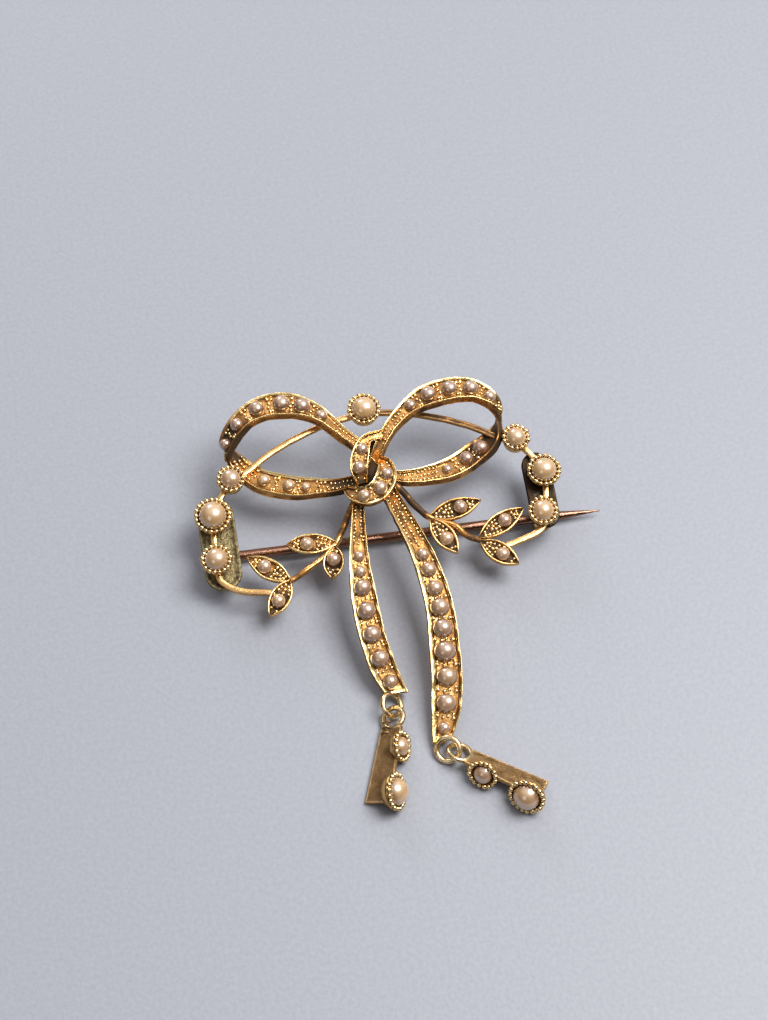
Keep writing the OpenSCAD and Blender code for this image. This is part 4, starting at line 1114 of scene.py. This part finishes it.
def strip(name, rows, hollow, mirrored=False, darker_by=0.0):
    """A flat strip of the frame with rounded edges; hollow is the soiling and painted shade along its middle, and
    the last argument darkens all of it.
    """
    route, c = wing_route(rows), .09
    h, t = wire_w / 2, wire_t / 2
    section = [(h - c, -t, .5), (h, -t + c, .25), (h, t - c, .12), (h - c * .3, t - c * .3, 0), (h - c, t, 0),
               (0, t + .02, hollow), (c - h, t, 0), (c * .3 - h, t - c * .3, 0), (-h, t - c, .12),
               (-h, -t + c, .25), (c - h, -t, .5)]
    rings, soil = [], []
    for s in cuts(route, 5):
        p, d = at(route, s), along(route, s)
        side, sway, lift = np.array([-d[1], d[0], 0]), wobble(p, .04, .8, 7), wobble(p, .05, .7, 2)
        rings.append([p + side * (q + sway) + np.array([0, 0, z + lift]) for q, z, _ in section])
        soil += [v + darker_by for _, _, v in section]
    points, faces = carried(rings)
    return mesh_piece(name, points, faces if mirrored else backward(faces), soil, strip_gold, laid(mirrored))


parts += [strip("arc_right", CROWN_ARC, .75, darker_by=.45), strip("arc_left", CROWN_ARC, .35, mirrored=True),
          strip("bar_left", LEFT_BAR, .55), strip("bar_right", RIGHT_BAR, .55)]
wings = joined("Twigs_and_frame", parts)
print("twigs and frame:", len(wings.data.polygons), "faces")

# %% [markdown]
# ## Core of the knot and back plates
# Behind the knot's two wraps sits a domed core that the ribbons are soldered to; only its sides show,
# and they are painted near black as shade, so a plain turned form is enough, with a smaller one where
# the upper wrap leaves a gap. The side collets stand on long back plates, made as slabs, whose edges
# are painted dark as shade. The left one is scratched and greenish. The right one lies in shade in
# the photograph, so it wears painted shade, a near black gold.

# %% Core and plates
CORE = [(0, 1.98, 1), (.5, 1.95, 1), (1.0, 1.75, 1), (1.3, 1.35, 1), (1.44, .8, .95), (1.46, .3, .8),
        (1.35, .12, .6), (.9, .06, .5), (0, .05, .4)]
CORE_TOP = [(0, 1.45, 1), (.45, 1.4, 1), (.75, 1.1, 1), (.86, .6, .95), (.8, .15, .6), (.5, .05, .5),
            (0, .04, .4)]
# The core and its top wear painted shade, near black.
core = turned_form("core", CORE, shade_gold, lie @ Matrix.Translation((-.1 * knot_reach, -.2 * knot_reach, 0)))
core_top = turned_form("core_top", CORE_TOP, shade_gold, lie @ Matrix.Translation((0, .66 * knot_reach, 0)))


def capsule(c, w, l):
    """Outline of a plate with round ends."""
    ends = [(c[0] + w / 2 * math.cos(a), c[1] + (l - w) / 2 + w / 2 * math.sin(a))
            for a in np.linspace(0, math.pi, 20)]
    return ends + [(2 * c[0] - x, 2 * c[1] - y) for x, y in ends]


def plate(name, x, y, share_w, share_l, material):
    """One back plate under the side collets."""
    outline = capsule((x * wing_reach, y * wing_reach), plate_w * share_w, plate_l * share_l)
    return slab(name, outline, plate_steps, material, lie @ Matrix.Translation((0, 0, plate_z)))


plate_w, plate_l, plate_t = 3.6, 9.4, .5
plate_z = collet_foot - plate_t + .05
# Steps of both plates: high numbers at the edges paint them dark as shade.
plate_steps = [(.30, 0, .6), (.12, .0, .6), (.03, .04, .8), (0, .12, 1), (0, plate_t - .12, 1),
               (.04, plate_t - .03, .5), (.14, plate_t, .6), (.35, plate_t - .03, 1.0),
               (.7, plate_t - .05, .6), (1.2, plate_t - .06, .55)]
back = joined("Core_and_plates", [core, core_top, plate("plate_left", -.98, -.305, 1, 1, plate_gold),
                                  plate("plate_right", .965, -.255, .78, .84, shade_gold)])
print("core and plates:", len(back.data.polygons), "faces")

# %% [markdown]
# ## Hinge lugs and catch
# The pin's eye turns between two lugs on the left plate, and its stem rests in a small hook on the
# right one. The photograph doesn't show them, so they follow the measured model: lugs with an eye
# for the rivet, and a hook that opens towards the table. Both feet are filed level. Booleans could
# cut them, but rings of points round the hole and along the hook give clean closed meshes.

# %% The lugs
eye_l, cheek_gap, lug_t, rivet_d, rivet_gap = 1.0, .1, .7, .76, .02
catch_l, catch_gap, catch_wall = 1.6, .12, .45
hinge_matrix = (lie @ Matrix.Translation((hinge_at[0], hinge_at[1], -pin_depth))
                @ Matrix.Rotation(-pin_slope, 4, "Z"))
table_slope = math.tan(lean)


def table_height(x, y):
    """Height of the table's top at a place of the hinge's frame."""
    spot = hinge_matrix.inverted() @ Vector((0, 0, 0))
    up_from_table = hinge_matrix.inverted().to_3x3() @ Vector((0, 0, 1))
    return spot.z - (up_from_table.x * (x - spot.x) + up_from_table.y * (y - spot.y)) / up_from_table.z


def lug_reach(dx, dz, floor, high):
    """How far a lug's outline is from the rivet's middle in one direction."""
    far, tiny = 99, 1e-6
    wide = (lug_r if dz >= 0 else lug_r * .92) / abs(dx) if abs(dx) > tiny else far
    tall = (high if dz > 0 else floor) / dz if abs(dz) > tiny else far
    return min(wide, tall) if dz > 0 else min(wide, tall, lug_r)


def lug(side):
    """One lug: rings of points between its hole and its outline, so that the hole stays open."""
    mid, high, c = side * (eye_l / 2 + cheek_gap + lug_t / 2), pin_depth + plate_z + .12, .06
    rings, soil = [], []
    for depth, inset, hollow in ((-lug_t / 2, None, .6), (-lug_t / 2, c, .1), (c - lug_t / 2, 0, 0),
                                 (lug_t / 2 - c, 0, 0), (lug_t / 2, c, .1), (lug_t / 2, None, .6)):
        floor = table_height(0, mid) + .01 + abs(depth) * table_slope
        ring = []
        for dx, dz in around(72):
            r = rivet_d / 2 + rivet_gap if inset is None else lug_reach(dx, dz, floor, high) - inset
            ring.append((dx * r, mid + depth, dz * r))
            soil.append(hollow)
        rings.append(ring)
    points, faces = carried(rings, closed=True)
    return mesh_piece(f"lug_{side}", points, backward(faces), soil, strip_gold, hinge_matrix)


lugs = [lug(-1), lug(1)]
print("lugs:", len(lugs), "with a hole of", rivet_d + 2 * rivet_gap, "mm")


# %% The catch
def hook():
    """The catch: a strip bent round the stem, open towards the table, and its neck."""
    mid_r, t, l, c = pin_d / 2 + catch_gap + catch_wall / 2, catch_wall / 2, catch_l / 2, .08
    low_front, low_back = table_height(catch_at, -mid_r) + .03, table_height(catch_at, mid_r) + .03
    path = [(-mid_r, low_front * (1 - k / 4)) for k in range(4)]
    path += [(-mid_r * math.cos(a), mid_r * math.sin(a)) for a in np.linspace(0, math.pi, 25)]
    path += [(mid_r, low_back * (k + 1) / 4) for k in range(4)]
    section = ((l - c, -t), (l, -t + c), (l, t - c), (l - c, t),
               (c - l, t), (-l, t - c), (-l, c - t), (c - l, -t))
    rings, soil = [], []
    for k, (y, z) in enumerate(path):
        (y0, z0), (y1, z1) = path[max(k - 1, 0)], path[min(k + 1, len(path) - 1)]
        size = math.hypot(y1 - y0, z1 - z0)
        oy, oz = -(z1 - z0) / size, (y1 - y0) / size
        rings.append([(catch_at + q, y + oy * o, z + oz * o) for q, o in section])
        soil += [.3 if o < 0 else .08 for _, o in section]
    points, faces = carried(rings)
    band = mesh_piece("hook", points, faces, soil, strip_gold, hinge_matrix)
    neck_x, neck_y = .7, .5
    corners = [(catch_at - neck_x, -neck_y), (catch_at + neck_x, -neck_y), (catch_at + neck_x, neck_y),
               (catch_at - neck_x, neck_y)]
    neck = slab("neck", corners, [(.0, mid_r - .05, .6), (.0, pin_depth + plate_z + .1, .6)], strip_gold,
                hinge_matrix)
    return [band, neck]


fittings = joined("Hinge_and_catch", lugs + hook())
print("hinge and catch:", len(fittings.data.polygons), "faces")

# %% [markdown]
# ## Grains between the pearls
# Little grains of gold are raised with a graver to hold the pearls: a pair or more in each gap, and
# rows of them that shrink where a ribbon runs into the knot. Leaves have a stippled foot and tip.
# Scattering them by chance would put some under a pearl, so each gap is measured and filled. They
# take the same tree as the pearls, with few faces each, because there are hundreds.

# %% Grains beside the pearls
def stations_between(rows, s0, s1, step):
    """Stations from s0 to s1 that lie a fixed distance apart."""
    fine = np.linspace(s0, s1, 160)
    places = np.array([at(rows, s)[:3] for s in fine])
    run = np.concatenate([[0], np.cumsum(np.linalg.norm(np.diff(places, axis=0), axis=1))])
    return [float(np.interp(d, run, fine)) for d in np.arange(step * .6, run[-1] - step * .2, step)]


spots, longest_gap, roomy_gap = [], 3.2, .35


def put(name, s, q, d):
    """One grain on a ribbon's floor."""
    place, facing_out = on_floor(name, s, q, bed + d * .10)
    spots.append((place, d, facing_out, 0.0))


for name, beads in PEARLS.items():
    rows = ROUTES[name]
    for (s0, k0), (s1, k1) in zip(beads, beads[1:]):
        r0, r1 = pearl_size(rows, s0, k0) / 2, pearl_size(rows, s1, k1) / 2
        run = np.linalg.norm(at(rows, s1)[:3] - at(rows, s0)[:3])
        if run > longest_gap:
            continue
        s = s0 + (s1 - s0) * (r0 + (run - r0 - r1) / 2) / run
        wide = channel_width(rows, s) / 2
        d = min(.46, max(.30, wide * .42))
        for side in (-1, 1):
            put(name, s + (s1 - s0) * .05 * side / run, side * (wide - d * .62), d)
            put(name, s - (s1 - s0) * .07 * side / run, side * d * .50, d * .82)
            if run - r0 - r1 > roomy_gap:
                put(name, s - (s1 - s0) * .30 / run, side * (wide - d * .70), d * .8)
print("grains beside the pearls:", len(spots))

# %% Grains where the ribbons run into the knot, and at their bends
ENDS = [
    ("left_loop", .9, 2.55), ("left_loop", 10.2, 11.7), ("left_loop", 15.0, 16.8), ("left_loop", 9.3, 9.9),
    ("right_loop", 1.0, 3.05), ("right_loop", 13.9, 14.5), ("right_loop", 15.4, 17.6), ("right_loop", 8.5, 9.1),
    ("left_tail", 1.2, 3.55), ("right_tail", 1.0, 2.85), ("wrap_one", .35, 1.35), ("wrap_one", 3.4, 3.7),
    ("wrap_two", .8, 1.25), ("wrap_two", 4.5, 5.3)]
row_step, two_abreast, stagger = .40, .62, .06
for name, s0, s1 in ENDS:
    rows = ROUTES[name]
    for k, s in enumerate(stations_between(rows, s0, s1, row_step)):
        wide = channel_width(rows, s) / 2
        columns, spread = (2, 1.0) if wide < two_abreast else (3, .72)
        for c in range(columns):
            q = (c - (columns - 1) / 2) * wide * spread + .05 * math.sin(k * 2.1 + c)
            d = min(.40, wide * .55) * (.85 + .15 * math.sin(k * 1.7 + c * 2.3))
            put(name, s + (stagger if c % 2 else -stagger), q, d)
print("grains in the channels:", len(spots))

# %% Grains on the leaves, and all of them made
leaf_height, leaf_rim, leaf_grain, leaf_row, beside = leaf_t / 2 + .02 - leaf_sunk, .34, .37, .38, .42
for leaf in LEAVES:
    foot, way, length, side, half_width = leaf_plan(leaf)
    for u in np.arange(.15, .90, leaf_row / length):
        if abs(u - leaf[4]) * length < leaf_pearl_d / 2 + .06:
            continue
        room = half_width(u) - leaf_rim
        n = max(1, int(2 * room / beside) + 1)
        for c in range(n):
            q = 0 if n == 1 else (c / (n - 1) * 2 - 1) * max(0, room - .08)
            p = foot + way * (u * length + .05 * ((c % 2) * 2 - 1)) + side * q
            d = leaf_grain + .05 * math.sin(u * 40 + c * 2)
            spots.append((lie @ Vector((p.x, p.y, leaf_height + .03)), d, straight_out, 0.0))
channel_grains = domed("Channel_grains", spots, grain_gold, 14, 10, .5, .10, .22, 5)
print("grains:", len(spots), "in", len(channel_grains.data.polygons), "faces")

# %% [markdown]
# ## Fasten the pieces to the measured bodies
# The brooch proper is one stiff body and the pin another. Each piece is fastened to the body it rides
# on, and the measured solids that it stands for are hidden; parenting by hand would do the same but
# could miss one. The pin and its rivet are kept as they were measured, and only get their finish.

# %% Ride, replace and finish the measured pieces
bow, both_drops = ["bow_frame"], ["drop_left", "drop_right"]
pearl_fields = ["left_loop_pearls", "right_loop_pearls", "knot_pearls"]


def numbered(name, count):
    """The names of solids that are numbered from 1."""
    return [f"{name}_{i}" for i in range(1, count + 1)]


tail_pearls = numbered("left_tail_pearl", 7) + numbered("right_tail_pearl", 9)
cup_pearls = numbered("collet_pearl", 7) + numbered("leaf_pearl", 8) + numbered("drop_pearl", 4)
for piece, nodes, finish in (
        (ribbons, bow, "yellow_gold"), (collets, bow + both_drops, "yellow_gold"),
        (grain_rings, bow + both_drops, "yellow_gold"), (leaves, bow, "yellow_gold"),
        (wings, bow, "yellow_gold"), (back, bow, "yellow_gold"), (fittings, bow, "yellow_gold"),
        (hanging_rings, bow + both_drops, "yellow_gold"), (drop_plates, both_drops, "yellow_gold"),
        (channel_grains, bow, "yellow_gold"), (ribbon_pearls, pearl_fields + tail_pearls, "grey_pearl"),
        (set_pearls, cup_pearls, "cream_pearl")):
    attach(piece, "brooch")
    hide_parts(*nodes)
for node, finish in (("pin_stem", pin_gold), ("hinge_rivet", strip_gold)):
    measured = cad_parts[node]
    for slot in measured.material_slots:
        slot.material = finish
    print(node, "keeps its measured mesh, with", finish.name)

# %% [markdown]
# ## Table and light
# The table is plain, pale and a little lilac. Metal shows what is round it, so the light matters as
# much as the gold: one large soft lamp high on the right gives the long highlights and the soft
# shadow to the left, a smaller one behind draws the rims, and a weak one at the front left keeps the
# shaded sides from going black. A photographed room could be wrapped round the scene instead, but a
# plain sky can be read and changed: it is bright only high up and behind, so faces that turn away
# from it mirror a dark room.

# %% Table
table_half, just_below = .8, -.02 * MM
table_top = bpy.data.meshes.new("table")
table_corners = [(x * table_half, y * table_half, just_below) for x, y in ((-1, -1), (1, -1), (1, 1), (-1, 1))]
table_top.from_pydata(table_corners, [], [(0, 1, 2, 3)])
table_piece = shown("Table", table_top)
lilac, tree, shader = new_material("pale table")
fleck = noise_at(tree, object_place(tree), 2400.0, 2.0)
tree.links.new(mixed(tree, fleck, (.285, .30, .35, 1), (.37, .385, .44, 1)), shader.inputs["Base Color"])
grainy = add(tree, "ShaderNodeBump", Strength=.12, Distance=.2 * MM, Height=fleck)
tree.links.new(grainy.outputs["Normal"], shader.inputs["Normal"])
shader.inputs["Roughness"].default_value = .5
table_top.materials.append(lilac)
print("table:", 2 * table_half, "m wide, with", len(tree.nodes), "nodes in its finish")


# %% Lamps and sky


def lamp(name, place, size, watts, colour):
    """A soft square lamp that points at the brooch."""
    light = bpy.data.lights.new(name, "AREA")
    light.shape, light.size, light.energy, light.color = "SQUARE", size, watts, colour
    holder = shown(name, light)
    holder.location = place
    holder.rotation_euler = (-Vector(place)).to_track_quat("-Z", "Y").to_euler()


lamp("window", (.21, .03, .42), .27, 2.6, (1.0, .98, .95))
lamp("far window", (-.10, .42, .20), .16, .45, (.95, .97, 1.0))
lamp("room", (-.30, -.30, .35), .25, .2, (1.0, .95, .9))
brightest_at, dark_room, open_sky = (.25, .45, .857), (.05, .04, .036, 1), (1.0, .99, 1.0, 1)
world = bpy.data.worlds.new("room")
bpy.context.scene.world = world
world.use_nodes = True
tree = world.node_tree
direction = add(tree, "ShaderNodeTexCoord").outputs["Generated"]
toward = add(tree, "ShaderNodeVectorMath", {"operation": "DOT_PRODUCT"}, i0=direction,
             i1=brightest_at).outputs["Value"]
background = tree.nodes["Background"].inputs
tree.links.new(mixed(tree, ranged(tree, toward, .25, .98, soft=True), dark_room, open_sky), background["Color"])
background["Strength"].default_value = .78
bpy.context.scene.view_settings.view_transform = "Standard"
